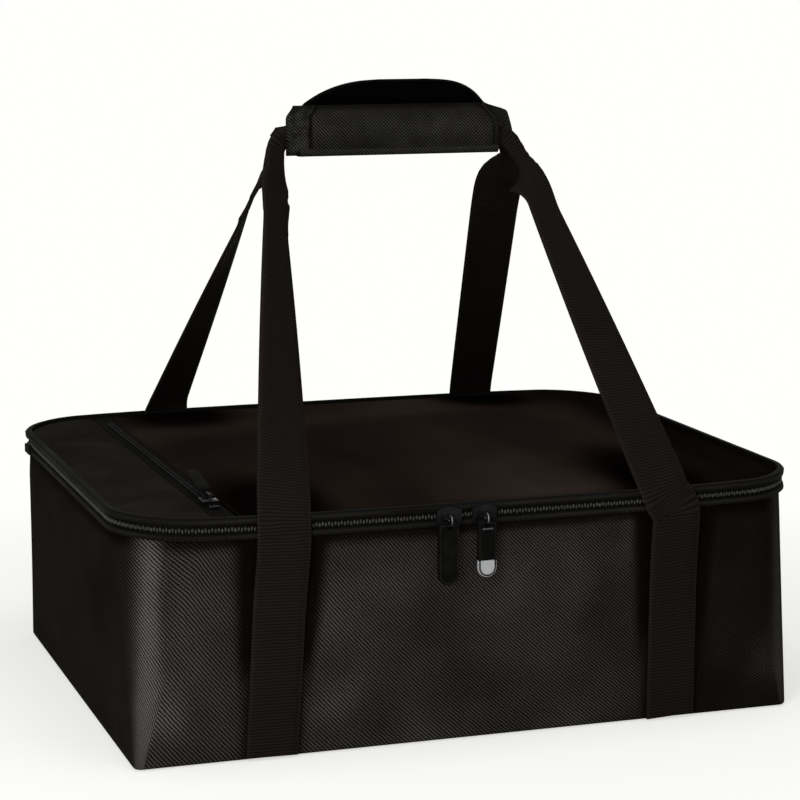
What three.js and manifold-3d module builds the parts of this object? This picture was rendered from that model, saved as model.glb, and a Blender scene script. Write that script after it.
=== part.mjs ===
// Insulated carrier bag: a soft rectangular tub with a lid zipped round three sides, a flat zipped pocket
// in the lid, and two webbing handles that meet in one padded grip.
// Millimetres, +X to the right, +Y to the back, +Z up, origin at the centre of the base's underside.
import * as THREE from "three";
import { mergeVertices } from "three/addons/utils/BufferGeometryUtils.js";
import Module from "manifold-3d";

const wasm = await Module();
wasm.setup();

// Tub
const BASE_LENGTH = 400;
const BASE_DEPTH = 310;
const BODY_HEIGHT = 129.5; // floor to the lower edge of the zip band
const BASE_CORNER = 5; // plan radius of the tub's corners at the floor
const RIM_CORNER = 41; // the same at the rim
const BASE_EDGE = 2.5; // rounding between base and walls
const RIM_FLARE = 4; // how far the rim stands out past the base
const RIM_BOW = 14; // how far the middle of the long sides bellies out at the rim
const SHELL_WALL = 1.2;
const FOAM_WALL = 5;
const LINER_WALL = 0.8;
const BOARD_WALL = 2;
const GAP = 0.3; // between pieces that touch

// Zip band round the rim
const BAND_PROUD = 2.7; // how far the band stands out past the tub's wall
const LOWER_BAND_HEIGHT = 4.1;
const UPPER_BAND_HEIGHT = 4.7;
const CHAIN_HALF = 1.65; // height of one half of the zip chain
const CHAIN_DEPTH = 2.6;
const CHAIN_SUNK = 0.4; // the chain lies this far behind the band's face
const END_TAB_LENGTH = 14;

// Lid
const LID_SUNK = 2.3; // lid fabric below the top of its band
const LID_FABRIC = 1.2;
const LID_FOAM = 3.4;
const LID_CROWN = 6;
const HINGE_STRIP = 0.8;
const HINGE_STRIP_PROUD = 0.3; // gap between the zip bands and the hinge strip behind them

// Pocket in the left end of the lid
const POCKET_ZIP_IN = 56; // from the rim's left end to the middle of the zip
const POCKET_ZIP_X = POCKET_ZIP_IN - BASE_LENGTH / 2 - RIM_FLARE;
const POCKET_TAPE = 13; // width of the zip tape between the two panels
const POCKET_ZIP_FRONT_IN = 24; // from the ends of the rim's front edge to the zip
const POCKET_ZIP_BACK_IN = 21; // the same at the back
const POCKET_ZIP_FRONT = POCKET_ZIP_FRONT_IN - BASE_DEPTH / 2 - RIM_FLARE;
const POCKET_ZIP_BACK = BASE_DEPTH / 2 + RIM_FLARE - POCKET_ZIP_BACK_IN;
const POCKET_CHAIN_WIDTH = 3.4;
const POCKET_CHAIN_HEIGHT = 1.2;
const POCKET_SLIDER_Y = POCKET_ZIP_FRONT + 11;
const PANEL_SEAM = 0.5; // gap between a lid panel and the zip tape
const POCKET_LINING = 0.5;

// Handle webbing
const WEBBING_WIDTH = 30;
const WEBBING = 1.8; // thickness
const STITCH_HEIGHT = 87; // sewn down below this, free above
const STRAP_FOOT = 1.5; // the sewn stretch starts this far above the floor
const BAND_TO_STRAP = 0.5; // room between the zip band and the strap over it

// Grip
const GRIP_X = 2.5; // the grip hangs this far right of the middle
const GRIP_LENGTH = 140;
const GRIP_BOTTOM = 325;
const FLAP_TOP = 355;
const PAD_TOP = 369.5;
const PAD_WALL = 6;
const DOME_SHOULDER = 12; // how far the pad's raised part is set in from the grip's ends
const FOLDED_WIDTH = 14; // webbing folded in half lengthwise inside the grip
const FOLDED_THICKNESS = 3.4;
const FOLDED_Z = 341; // middle of the folded webbing
const HANDLES_APART = 5.4; // between the middles of the two handles' webbing in the grip
const SHOULDER_RADIUS = 7; // bend of the webbing where it leaves the grip
const SHOULDER_OUT = 1; // straight webbing past the grip's end before that bend
const CLOSURE_STRIP = 0.8; // thickness of the hook and loop strips
const HOOK_HEIGHT = 5.5;
const LOOP_HEIGHT = 9;
const HOOK_INSET = 14; // from the grip's ends to the hook strip's ends
const LOOP_INSET = 30; // the same for the loop strip, which lies in the raised top

// Main sliders and their pulls
const SLIDERS = { left: -24.2, right: -3.4 }; // X of their middles
const SLIDER_LENGTH = 14.5;
const SLIDER_HEIGHT = 10.5;
const SLIDER_WALL = 1.6;
const BAIL_BAR = 1.3; // thickness of the arch that holds the pull
const BAIL_SPAN = 8;
const BAIL_ROOM = 3; // clear height under the arch
const RING_RADIUS = 2.7;
const RING_WIRE = 1;
const RING_SLACK = 0.15; // between ring and arch
const PULLS = {
  left: { width: 12, length: 36, tip: 0 },
  right: { width: 11, length: 33, tip: 9.5 },
};
const PULL_THICKNESS = 2.6;
const PULL_EYE = 1.6; // radius of the hole for the ring
const PULL_EYE_EDGE = 1.3; // material between that hole and the pull's top

// Pocket slider and pull
const POCKET_SLIDER = { length: 12, width: 9, wall: 1.5 };
const POCKET_PULL = { width: 9, length: 42, thickness: 2.2, rise: 9 };
const POCKET_CROSSBAR = 1.2;

const MATERIALS = {
  twill: { color: 0x222020, roughness: 0.86, metalness: 0 },
  binding: { color: 0x2a2928, roughness: 0.72, metalness: 0 },
  webbing: { color: 0x261f1b, roughness: 0.82, metalness: 0 },
  chain: { color: 0x55534f, roughness: 0.35, metalness: 0.3 },
  metal: { color: 0x3a3a3c, roughness: 0.28, metalness: 0.9 },
  rubber: { color: 0x1b1b1c, roughness: 0.5, metalness: 0 },
  tip: { color: 0xb9bcbf, roughness: 0.4, metalness: 0 },
  foam: { color: 0xe9e9e4, roughness: 0.95, metalness: 0 },
  liner: { color: 0xb7babd, roughness: 0.3, metalness: 0.5 },
  board: { color: 0x6f6f6c, roughness: 0.7, metalness: 0 },
};

const bag = new THREE.Group();

function addMesh(name, geometry, finish) {
  const mesh = new THREE.Mesh(geometry, new THREE.MeshStandardMaterial(MATERIALS[finish]));
  mesh.name = name;
  bag.add(mesh);
  return mesh;
}

const vec = (x, y, z) => new THREE.Vector3(x, y, z);
const lerp = THREE.MathUtils.lerp;
const clamp = THREE.MathUtils.clamp;

// Closed body from loops of points, each loop joined to the next. Both ends are closed with a fan,
// or the last loop joins the first. Quads are split on their shorter diagonal, so that layers nest.
function skin(loops, joined = false) {
  const count = loops[0].length;
  const positions = [];
  const index = [];
  for (const loop of loops) for (const p of loop) positions.push(p.x, p.y, p.z);
  const spans = joined ? loops.length : loops.length - 1;
  for (let i = 0; i < spans; i++) {
    const next = (i + 1) % loops.length;
    const [near, far] = [i * count, next * count];
    for (let j = 0; j < count; j++) {
      const k = (j + 1) % count;
      const fromNear = loops[i][j].distanceToSquared(loops[next][k]);
      const fromFar = loops[i][k].distanceToSquared(loops[next][j]);
      if (fromFar < fromNear - 1e-6) index.push(near + j, near + k, far + j, near + k, far + k, far + j);
      else index.push(near + j, near + k, far + k, near + j, far + k, far + j);
    }
  }
  if (!joined) {
    closeEnd(positions, index, loops[0], 0, true);
    closeEnd(positions, index, loops.at(-1), (loops.length - 1) * count, false);
  }
  turnOutwards(positions, index);
  const geometry = new THREE.BufferGeometry();
  geometry.setAttribute("position", new THREE.Float32BufferAttribute(positions, 3));
  geometry.setIndex(index);
  geometry.computeVertexNormals();
  return geometry;
}

function closeEnd(positions, index, loop, start, first) {
  const middle = loop.reduce((sum, p) => sum.add(p), vec(0, 0, 0)).divideScalar(loop.length);
  const hub = positions.length / 3;
  positions.push(middle.x, middle.y, middle.z);
  loop.forEach((p, j) => {
    const a = start + j;
    const b = start + ((j + 1) % loop.length);
    if (first) index.push(hub, b, a);
    else index.push(hub, a, b);
  });
}

function turnOutwards(positions, index) {
  const corner = (i) => vec(...positions.slice(3 * i, 3 * i + 3));
  let volume = 0;
  for (let i = 0; i < index.length; i += 3) {
    const [a, b, c] = [corner(index[i]), corner(index[i + 1]), corner(index[i + 2])];
    volume += a.dot(b.cross(c));
  }
  if (volume > 0) return;
  for (let i = 0; i < index.length; i += 3) [index[i], index[i + 1]] = [index[i + 1], index[i]];
}

function toSolid(geometry) {
  const bare = geometry.clone();
  bare.deleteAttribute("normal");
  if (bare.hasAttribute("uv")) bare.deleteAttribute("uv");
  const merged = mergeVertices(bare, 1e-4);
  return new wasm.Manifold(
    new wasm.Mesh({
      numProp: 3,
      vertProperties: merged.attributes.position.array,
      triVerts: new Uint32Array(merged.index.array),
    }),
  );
}

function toGeometry(solid) {
  const mesh = solid.getMesh();
  const geometry = new THREE.BufferGeometry();
  geometry.setAttribute("position", new THREE.BufferAttribute(Float32Array.from(mesh.vertProperties), 3));
  geometry.setIndex(new THREE.BufferAttribute(Uint32Array.from(mesh.triVerts), 1));
  geometry.computeVertexNormals();
  return geometry;
}

function block(x0, x1, y0, y1, z0, z1) {
  const geometry = new THREE.BoxGeometry(x1 - x0, y1 - y0, z1 - z0);
  return geometry.translate((x0 + x1) / 2, (y0 + y1) / 2, (z0 + z1) / 2);
}

// The plan outline of the tub's outer face at a height: half sizes, corner radius and belly.
const CORNER_STEPS = 5;
const LONG_STEPS = 12;
const SHORT_STEPS = 2;

function planAt(z) {
  const t = clamp(z / BODY_HEIGHT, 0, 1);
  return {
    halfLength: BASE_LENGTH / 2 + RIM_FLARE * t,
    halfDepth: BASE_DEPTH / 2 + RIM_FLARE * t,
    corner: lerp(BASE_CORNER, RIM_CORNER, t),
    bow: RIM_BOW * t,
  };
}

function belly(plan, x) {
  return plan.bow * (1 - clamp(Math.abs(x) / plan.halfLength, 0, 1) ** 4);
}

// Distance from the middle to the outer face of a long side.
function wallY(z, x, offset = 0) {
  const plan = planAt(z);
  return plan.halfDepth + offset + belly(plan, x);
}

// Outline points, counter-clockwise from above, from the back end of the left side, offset outwards.
function outline(z, offset, level = z) {
  const plan = planAt(z);
  const a = plan.halfLength + offset;
  const b = plan.halfDepth + offset;
  const r = Math.max(plan.corner + offset, 1);
  const points = [];
  const put = (x, y) => {
    const out = belly(plan, (x / a) * plan.halfLength) * Math.min(1, (y / b) ** 4);
    points.push(vec(x, y + Math.sign(y) * out, level));
  };
  const side = (x0, y0, x1, y1, steps) => {
    for (let i = 0; i < steps; i++) put(lerp(x0, x1, i / steps), lerp(y0, y1, i / steps));
  };
  const arc = (cx, cy, from) => {
    for (let i = 0; i < CORNER_STEPS; i++) {
      const angle = from + (i / CORNER_STEPS) * (Math.PI / 2);
      put(cx + r * Math.cos(angle), cy + r * Math.sin(angle));
    }
  };
  side(-a, b - r, -a, r - b, SHORT_STEPS);
  arc(r - a, r - b, Math.PI);
  side(r - a, -b, a - r, -b, LONG_STEPS);
  arc(a - r, r - b, 1.5 * Math.PI);
  side(a, r - b, a, b - r, SHORT_STEPS);
  arc(a - r, b - r, 0);
  side(a - r, b, r - a, b, LONG_STEPS);
  arc(r - a, b - r, Math.PI / 2);
  return points;
}

// The zipped stretch of an outline: the left side, the front and the right side.
const ZIPPED = 2 * SHORT_STEPS + 2 * CORNER_STEPS + LONG_STEPS + 1;

const INNER = { foam: SHELL_WALL + GAP, liner: SHELL_WALL + FOAM_WALL + 2 * GAP };
const BASE_FOAM_BOTTOM = SHELL_WALL + GAP + BOARD_WALL + GAP;
const FLOOR = BASE_FOAM_BOTTOM + FOAM_WALL + GAP; // underside of the liner's floor
const WALL_LEVELS = [FLOOR, ...[0.35, 0.7, 1].map((t) => BODY_HEIGHT * t)];

// Outlines up a wall between two heights, at the same levels for every layer of it.
function rise(bottom, top, offset) {
  const between = WALL_LEVELS.filter((z) => z > bottom && z < top);
  return [bottom, ...between, top].map((z) => outline(z, offset));
}

function shell() {
  const outer = [outline(0, -BASE_EDGE), outline(BASE_EDGE * 0.3, -BASE_EDGE * 0.3)];
  outer.push(...rise(BASE_EDGE, BODY_HEIGHT, 0));
  const floor = outline(SHELL_WALL, -SHELL_WALL - BASE_EDGE / 2);
  const inner = [floor, ...rise(BASE_EDGE, BODY_HEIGHT, -SHELL_WALL)];
  return skin([...outer, ...inner.reverse()]);
}

const RIM = BODY_HEIGHT + GAP; // underside of the lower zip band
const LOWER_BAND_TOP = RIM + LOWER_BAND_HEIGHT;
const CHAIN_PARTING = LOWER_BAND_TOP + GAP + CHAIN_HALF + GAP / 2;
const UPPER_BAND_BOTTOM = CHAIN_PARTING + GAP / 2 + CHAIN_HALF + GAP;
const UPPER_BAND_TOP = UPPER_BAND_BOTTOM + UPPER_BAND_HEIGHT;

const LAYERS_TOP = LOWER_BAND_TOP - 2 * GAP; // wall foam and liner end just below the band's top

function wallFoam() {
  const outer = rise(BASE_FOAM_BOTTOM, LAYERS_TOP, -INNER.foam);
  const inner = rise(BASE_FOAM_BOTTOM, LAYERS_TOP, -INNER.foam - FOAM_WALL);
  return skin([...outer, ...inner.reverse()], true);
}

function liner() {
  const outer = rise(FLOOR, LAYERS_TOP, -INNER.liner);
  const inner = rise(FLOOR + LINER_WALL, LAYERS_TOP, -INNER.liner - LINER_WALL);
  return skin([...outer, ...inner.reverse()]);
}

function slab(bottom, thickness, inset) {
  return skin([outline(bottom, -inset), outline(bottom, -inset, bottom + thickness)]);
}

// A bar of the band round the whole rim, with a rolled outer edge.
function bandRing(bottom, height, inner, outer) {
  const roll = Math.min(1.2, height / 3);
  return skin(
    [
      outline(BODY_HEIGHT, inner, bottom),
      outline(BODY_HEIGHT, outer - roll, bottom),
      outline(BODY_HEIGHT, outer, bottom + roll),
      outline(BODY_HEIGHT, outer, bottom + height - roll),
      outline(BODY_HEIGHT, outer - roll, bottom + height),
      outline(BODY_HEIGHT, inner, bottom + height),
    ],
    true,
  );
}

// One half of the zip chain, along the zipped stretch only.
function chainHalf(bottom) {
  const front = BAND_PROUD - CHAIN_SUNK;
  const corners = [
    outline(BODY_HEIGHT, front - CHAIN_DEPTH, bottom),
    outline(BODY_HEIGHT, front, bottom),
    outline(BODY_HEIGHT, front, bottom + CHAIN_HALF),
    outline(BODY_HEIGHT, front - CHAIN_DEPTH, bottom + CHAIN_HALF),
  ].map((loop) => loop.slice(0, ZIPPED));
  return skin(corners[0].map((p, i) => corners.map((line) => line[i])));
}

// Fabric that joins the two bands behind, outside both, over the straight of the back.
function hingeStrip() {
  const half = planAt(BODY_HEIGHT).halfLength - RIM_CORNER;
  const near = BAND_PROUD + HINGE_STRIP_PROUD;
  const loops = [];
  for (let i = 0; i <= LONG_STEPS; i++) {
    const x = lerp(-half, half, i / LONG_STEPS);
    const inside = wallY(BODY_HEIGHT, x, near);
    const corners = [
      [inside, RIM + 1],
      [inside + HINGE_STRIP, RIM + 1],
      [inside + HINGE_STRIP, UPPER_BAND_TOP - 1],
      [inside, UPPER_BAND_TOP - 1],
    ];
    loops.push(corners.map(([y, z]) => vec(x, y, z)));
  }
  return skin(loops);
}

// Fabric tab over an end of the main zip, at the back end of a short side, sewn to the lower band.
function endTab(side) {
  const plan = planAt(BODY_HEIGHT);
  const back = plan.halfDepth - RIM_CORNER;
  const x0 = side * (plan.halfLength + BAND_PROUD + GAP);
  const x1 = x0 + side * 1.2;
  return block(
    Math.min(x0, x1),
    Math.max(x0, x1),
    back - END_TAB_LENGTH,
    back,
    RIM + 0.5,
    CHAIN_PARTING - GAP / 2,
  );
}

// Lid surfaces: the main panel is crowned right of the pocket zip, and the pocket end lies flat.
const LID_TOP = UPPER_BAND_TOP - LID_SUNK;
const LID_INSET = SHELL_WALL + GAP; // from the rim's outline to the lid panels
const LID_FABRIC_BOTTOM = LID_TOP - LID_FABRIC;
const POCKET_LINING_BOTTOM = LID_FABRIC_BOTTOM - GAP - POCKET_LINING;
const LID_FOAM_BOTTOM = POCKET_LINING_BOTTOM - GAP - LID_FOAM;
const LID_LINER_BOTTOM = LID_FOAM_BOTTOM - GAP - LINER_WALL;
const SEAM_X = POCKET_ZIP_X + POCKET_TAPE / 2;

function crown(x, y) {
  const plan = planAt(BODY_HEIGHT);
  if (x < SEAM_X) return 0;
  const middle = (SEAM_X + plan.halfLength) / 2;
  const across = clamp((x - middle) / (plan.halfLength - middle), -1, 1);
  const along = clamp(y / (plan.halfDepth + plan.bow), -1, 1);
  return LID_CROWN * (1 - across ** 2) * (1 - along ** 2);
}

// Places along X where every lid sheet has a row of points, closer together near the short ends.
const LID_ROWS = 8;

function lidStations(low, high) {
  const half = planAt(BODY_HEIGHT).halfLength - LID_INSET;
  const places = [-half, -0.99 * half, -0.95 * half, -0.87 * half, SEAM_X];
  for (let i = 1; i < 8; i++) places.push(lerp(SEAM_X, 0.76 * half, i / 8));
  places.push(0.76 * half, 0.87 * half, 0.95 * half, 0.99 * half, half);
  return [low, ...places.filter((x) => x > low + PANEL_SEAM && x < high - PANEL_SEAM), high];
}

// A sheet over the lid's plan between two levels, cut to a range of X and lifted by the crown.
function lidSheet(bottom, top, x0, x1) {
  const edge = outline(BODY_HEIGHT, -LID_INSET);
  const half = planAt(BODY_HEIGHT).halfLength - LID_INSET;
  const loops = [];
  for (const x of lidStations(Math.max(x0, -half), Math.min(x1, half))) {
    const reach = edgeAt(edge, x);
    const row = (z, up) =>
      Array.from({ length: LID_ROWS + 1 }, (_, j) => {
        const y = reach * lerp(-1, 1, up ? j / LID_ROWS : 1 - j / LID_ROWS);
        return vec(x, y, z + crown(x, y));
      });
    loops.push([...row(bottom, true), ...row(top, false)]);
  }
  return skin(loops);
}

// Half depth of an outline at X, from its back half.
function edgeAt(edge, x) {
  const back = edge.filter((p) => p.y > 0).sort((p, q) => p.x - q.x);
  for (let i = 1; i < back.length; i++) {
    const [p, q] = [back[i - 1], back[i]];
    if (x >= p.x && x <= q.x && q.x > p.x) return lerp(p.y, q.y, (x - p.x) / (q.x - p.x));
  }
  return back[0].y;
}

// Webbing ribbon through stations of centre, tangent, width direction, width and thickness.
function ribbon(stations) {
  return skin(
    stations.map(({ at, along, across, width, thickness }) => {
      const t = along.clone().normalize();
      const w = across.clone().addScaledVector(t, -across.dot(t)).normalize();
      const n = new THREE.Vector3().crossVectors(t, w);
      const edge = (u) => at.clone().addScaledVector(w, (u * width) / 2);
      const corner = (u, v) => edge(u).addScaledVector(n, (v * thickness) / 2);
      return [corner(-1, -1), corner(1, -1), corner(1, 1), corner(-1, 1)];
    }),
  );
}

// The four straps. Foot, rim and over are how far in from the base's end a strap's middle lies: at the floor,
// at the tub's rim and at the top of the zip bands. Twist is the turn of the webbing about the vertical just
// below the grip, in degrees.
const STRAPS = {
  front_left: { side: -1, hand: -1, foot: 78.5, rim: 81, over: 81, twist: 50 },
  front_right: { side: -1, hand: 1, foot: 78, rim: 85, over: 93.5, twist: 48 },
  back_left: { side: 1, hand: -1, foot: 96, rim: 101, over: 101, twist: 70 },
  back_right: { side: 1, hand: 1, foot: 81, rim: 82, over: 82, twist: 24 },
};

// Middle of a strap along X at a share of the body's height.
function strapX({ hand, foot, rim }, share) {
  return hand * (BASE_LENGTH / 2 - lerp(foot, rim, share));
}

// Middle of a strap against the wall at a height below the band.
function strapOnWall(strap, z) {
  const x = strapX(strap, z / BODY_HEIGHT);
  const edge = z < BASE_EDGE ? ((BASE_EDGE - z) / BASE_EDGE) ** 2 * (BASE_EDGE / 2) : 0;
  return vec(x, strap.side * (wallY(z, x) - edge + GAP + WEBBING / 2), z);
}

// Direction across a strap that lies on the wall.
function acrossWall(strap, z) {
  const step = 1;
  const x = strapX(strap, 1);
  return vec(2 * step, strap.side * (wallY(z, x + step) - wallY(z, x - step)), 0);
}

function sewnStrap(strap) {
  const heights = [STRAP_FOOT, BASE_EDGE, STITCH_HEIGHT * 0.35, STITCH_HEIGHT * 0.7, STITCH_HEIGHT - GAP];
  return ribbon(
    heights.map((z) => ({
      at: strapOnWall(strap, z),
      along: strapOnWall(strap, z + 1).sub(strapOnWall(strap, z)),
      across: acrossWall(strap, z),
      width: WEBBING_WIDTH,
      thickness: WEBBING,
    })),
  );
}

// Middle of a free strap where it passes the zip bands, and behind the hinge strip too.
function strapAtBands({ side, hand, rim, over }, z) {
  const share = clamp((z - BODY_HEIGHT) / (UPPER_BAND_TOP - BODY_HEIGHT), 0, 1);
  const x = hand * (BASE_LENGTH / 2 - lerp(rim, over, share));
  const inside = side < 0 ? BAND_PROUD : BAND_PROUD + HINGE_STRIP_PROUD + HINGE_STRIP;
  return vec(x, side * wallY(BODY_HEIGHT, x, inside + BAND_TO_STRAP + WEBBING / 2), z);
}

const SHOULDER_X = GRIP_LENGTH / 2 + SHOULDER_OUT;
const HANDLE_Y = HANDLES_APART / 2;
const BEND_RISE = 5; // the bend over the rim stands this far above the band
const FOLD_ROOM = 12; // webbing in that bend, past its middle
const SHOULDER_SPREAD = 6.5; // how far front and back webbing part below the grip's end

// Path of a free strap: up the wall, over the band's edge, in to the grip's end and round the shoulder.
function strapPath(strap) {
  const { side, hand } = strap;
  const foot = strapOnWall(strap, STITCH_HEIGHT);
  const leaving = strapOnWall(strap, lerp(STITCH_HEIGHT, BODY_HEIGHT, 0.4));
  const rim = (z) => strapAtBands(strap, z);
  const shoulder = vec(GRIP_X + hand * SHOULDER_X, side * HANDLE_Y, FOLDED_Z);
  const drop = shoulder.clone().add(vec(hand * SHOULDER_RADIUS, side * SHOULDER_SPREAD, -SHOULDER_RADIUS));
  const bend = rim(UPPER_BAND_TOP + BEND_RISE);
  const lean = drop.clone().sub(bend).normalize();
  const bent = bend.clone().addScaledVector(lean, FOLD_ROOM);
  const top = rim(UPPER_BAND_TOP - 1);
  const path = new THREE.CurvePath();
  const clear = rim(lerp(STITCH_HEIGHT, BODY_HEIGHT, 0.75));
  path.add(new THREE.CubicBezierCurve3(foot, leaving, clear, rim(BODY_HEIGHT)));
  path.add(new THREE.LineCurve3(rim(BODY_HEIGHT), top));
  path.add(new THREE.QuadraticBezierCurve3(top, bend, bent));
  path.add(new THREE.LineCurve3(bent, drop));
  path.add(new THREE.QuadraticBezierCurve3(drop, vec(drop.x, shoulder.y, FOLDED_Z), shoulder));
  return path;
}

const STRAP_STEPS = [5, 1, 4, 9, 5];
const LEANING = 3; // index of the straight stretch from the rim to the grip
const GATHER_LENGTH = 40; // over which the webbing opens from folded to flat

function freeStrap(strap) {
  const path = strapPath(strap);
  const length = path.curves[LEANING].getLength();
  const flat = acrossWall(strap, BODY_HEIGHT).normalize();
  const stations = [];
  path.curves.forEach((curve, part) => {
    for (let i = part ? 1 : 0; i <= STRAP_STEPS[part]; i++) {
      const u = i / STRAP_STEPS[part];
      const climb = part < LEANING ? 0 : part > LEANING ? 1 : u;
      const twist = THREE.MathUtils.degToRad(strap.twist) * climb;
      const turned = vec(Math.cos(twist), Math.sin(twist), 0);
      const across = flat.clone().lerp(turned, Math.min(1, climb * 4));
      if (part > LEANING) across.lerp(vec(0, 0, strap.hand), u);
      const opened = clamp((length * (1 - climb)) / GATHER_LENGTH, 0, 1);
      stations.push({
        at: curve.getPoint(u),
        along: curve.getTangent(u),
        across,
        width: lerp(FOLDED_WIDTH, WEBBING_WIDTH, opened),
        thickness: lerp(FOLDED_THICKNESS, WEBBING, opened),
      });
    }
  });
  return ribbon(stations);
}

function gripWebbing(side) {
  const half = SHOULDER_X - GAP;
  const y = side * HANDLE_Y;
  return block(
    GRIP_X - half,
    GRIP_X + half,
    y - FOLDED_THICKNESS / 2,
    y + FOLDED_THICKNESS / 2,
    FOLDED_Z - FOLDED_WIDTH / 2,
    FOLDED_Z + FOLDED_WIDTH / 2,
  );
}

const GRIP_INSIDE = HANDLE_Y + FOLDED_THICKNESS / 2 + GAP; // from the middle to the wrap's inner faces

// Padded sheet that follows a profile in Y and Z, with its own half length at each point.
function paddedSheet(profile) {
  return skin(
    profile.map(({ y, z, out, half }) => {
      const [ny, nz] = out;
      const at = (x, d) => vec(GRIP_X + x, y + ny * d, z + nz * d);
      const edge = PAD_WALL * 0.25;
      return [
        at(-half, edge),
        at(-half + edge, 0),
        at(half - edge, 0),
        at(half, edge),
        at(half, PAD_WALL - edge),
        at(half - edge, PAD_WALL),
        at(-half + edge, PAD_WALL),
        at(-half, PAD_WALL - edge),
      ];
    }),
  );
}

// The pad: bottom fold and back panel. Its raised top has a rounded outline.
const DOME_STEPS = 6;

function gripPad() {
  const half = GRIP_LENGTH / 2;
  const inner = GRIP_INSIDE;
  const bend = inner * 0.75;
  const profile = [{ y: -inner + GAP, z: GRIP_BOTTOM + PAD_WALL, out: [0, -1], half }];
  for (let i = 0; i <= 4; i++) {
    const angle = (i / 4) * (Math.PI / 2);
    const [s, c] = [Math.sin(angle), Math.cos(angle)];
    profile.push({
      y: inner - bend + bend * s,
      z: GRIP_BOTTOM + PAD_WALL + bend - bend * c,
      out: [s, -c],
      half,
    });
  }
  profile.push({ y: inner, z: FLAP_TOP - 3, out: [1, 0], half });
  const domeHalf = half - DOME_SHOULDER;
  for (let i = 0; i <= DOME_STEPS; i++) {
    const t = i / DOME_STEPS;
    const z = lerp(FLAP_TOP, PAD_TOP, t);
    profile.push({ y: inner, z, out: [1, 0], half: domeHalf * (0.36 + 0.64 * Math.sqrt(1 - t * t)) });
  }
  return paddedSheet(profile);
}

function gripFlap() {
  const half = GRIP_LENGTH / 2;
  const heights = [GRIP_BOTTOM, GRIP_BOTTOM + 2.5, lerp(GRIP_BOTTOM, FLAP_TOP, 0.5), FLAP_TOP - 2, FLAP_TOP];
  return paddedSheet(heights.map((z) => ({ y: -GRIP_INSIDE, z, out: [-1, 0], half })));
}

function closureStrip(side, top, height, inset) {
  const face = GRIP_INSIDE;
  const half = GRIP_LENGTH / 2 - inset;
  const y0 = side * (face - GAP);
  const y1 = side * (face - GAP - CLOSURE_STRIP);
  return block(GRIP_X - half, GRIP_X + half, Math.min(y0, y1), Math.max(y0, y1), top - height, top);
}

// A slider of the main zip: face plate, ribs either side of the chain and the arch for the pull.
const SLIDER_FACE = wallY(BODY_HEIGHT, 0, BAND_PROUD + GAP);
const BAIL_Y = SLIDER_FACE + SLIDER_WALL + BAIL_ROOM; // inner side of the arch's bar

function mainSlider(x) {
  const half = SLIDER_LENGTH / 2;
  const tall = SLIDER_HEIGHT / 2;
  const plan = new THREE.Shape();
  plan.moveTo(-half, -tall * 0.7);
  plan.quadraticCurveTo(-half * 0.4, -tall, 0, -tall);
  plan.quadraticCurveTo(half * 0.4, -tall, half, -tall * 0.7);
  plan.lineTo(half, tall * 0.7);
  plan.quadraticCurveTo(half * 0.4, tall, 0, tall);
  plan.quadraticCurveTo(-half * 0.4, tall, -half, tall * 0.7);
  plan.closePath();
  const flat = { depth: SLIDER_WALL, bevelEnabled: false, curveSegments: 4 };
  const plate = new THREE.ExtrudeGeometry(plan, flat);
  plate.rotateX(Math.PI / 2);
  plate.translate(x, -SLIDER_FACE, CHAIN_PARTING);
  return toGeometry(toSolid(plate).add(archSolid(x)));
}

const BAR_Y = -BAIL_Y - BAIL_BAR / 2; // axis about which a main pull swings

function archSolid(x) {
  const half = BAIL_SPAN / 2;
  const bar = BAIL_BAR / 2;
  const round = new THREE.CylinderGeometry(bar, bar, BAIL_SPAN - BAIL_BAR, 12);
  round.rotateZ(Math.PI / 2);
  round.translate(x, BAR_Y, CHAIN_PARTING);
  let arch = toSolid(round);
  for (const hand of [-1, 1]) {
    const end = x + hand * (half - bar);
    const foot = -SLIDER_FACE - SLIDER_WALL / 2;
    const leg = block(end - bar, end + bar, BAR_Y - bar, foot, CHAIN_PARTING - bar, CHAIN_PARTING + bar);
    arch = arch.add(toSolid(leg));
  }
  return arch;
}

const RING_DROP = RING_RADIUS - RING_WIRE / 2 - BAIL_BAR / 2 - RING_SLACK; // ring centre below the bar

function pullRing(x) {
  const ring = new THREE.TorusGeometry(RING_RADIUS, RING_WIRE / 2, 6, 18);
  ring.rotateY(Math.PI / 2);
  return ring.translate(x, BAR_Y, CHAIN_PARTING - RING_DROP);
}

// Tab with a rounded lower end and an eye for the ring.
const EYE_SIDES = 14;

function pullTab(x, { width, length, tip }) {
  const half = width / 2;
  const top = PULL_EYE + PULL_EYE_EDGE;
  const shape = new THREE.Shape();
  shape.moveTo(-half * 0.6, top);
  shape.lineTo(half * 0.6, top);
  shape.quadraticCurveTo(half, top, half, top - half * 0.5);
  const end = top - length;
  if (tip) {
    shape.lineTo(half, end + tip + GAP);
    shape.lineTo(-half, end + tip + GAP);
  } else {
    shape.lineTo(half, end + half);
    shape.absarc(0, end + half, half, 0, -Math.PI, true);
  }
  shape.lineTo(-half, top - half * 0.5);
  shape.quadraticCurveTo(-half, top, -half * 0.6, top);
  const eye = Array.from({ length: EYE_SIDES }, (_, i) => {
    const angle = (2 * Math.PI * i) / EYE_SIDES;
    return new THREE.Vector2(PULL_EYE * Math.cos(angle), PULL_EYE * Math.sin(angle));
  });
  shape.holes.push(new THREE.Path().setFromPoints(eye));
  return placeTab(shape, x);
}

function pullTip(x, { width, length, tip }) {
  const half = width / 2;
  const end = PULL_EYE + PULL_EYE_EDGE - length;
  const shape = new THREE.Shape();
  shape.moveTo(-half, end + tip);
  shape.lineTo(-half, end + half);
  shape.absarc(0, end + half, half, Math.PI, 2 * Math.PI, false);
  shape.lineTo(half, end + tip);
  shape.closePath();
  return placeTab(shape, x);
}

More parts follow.
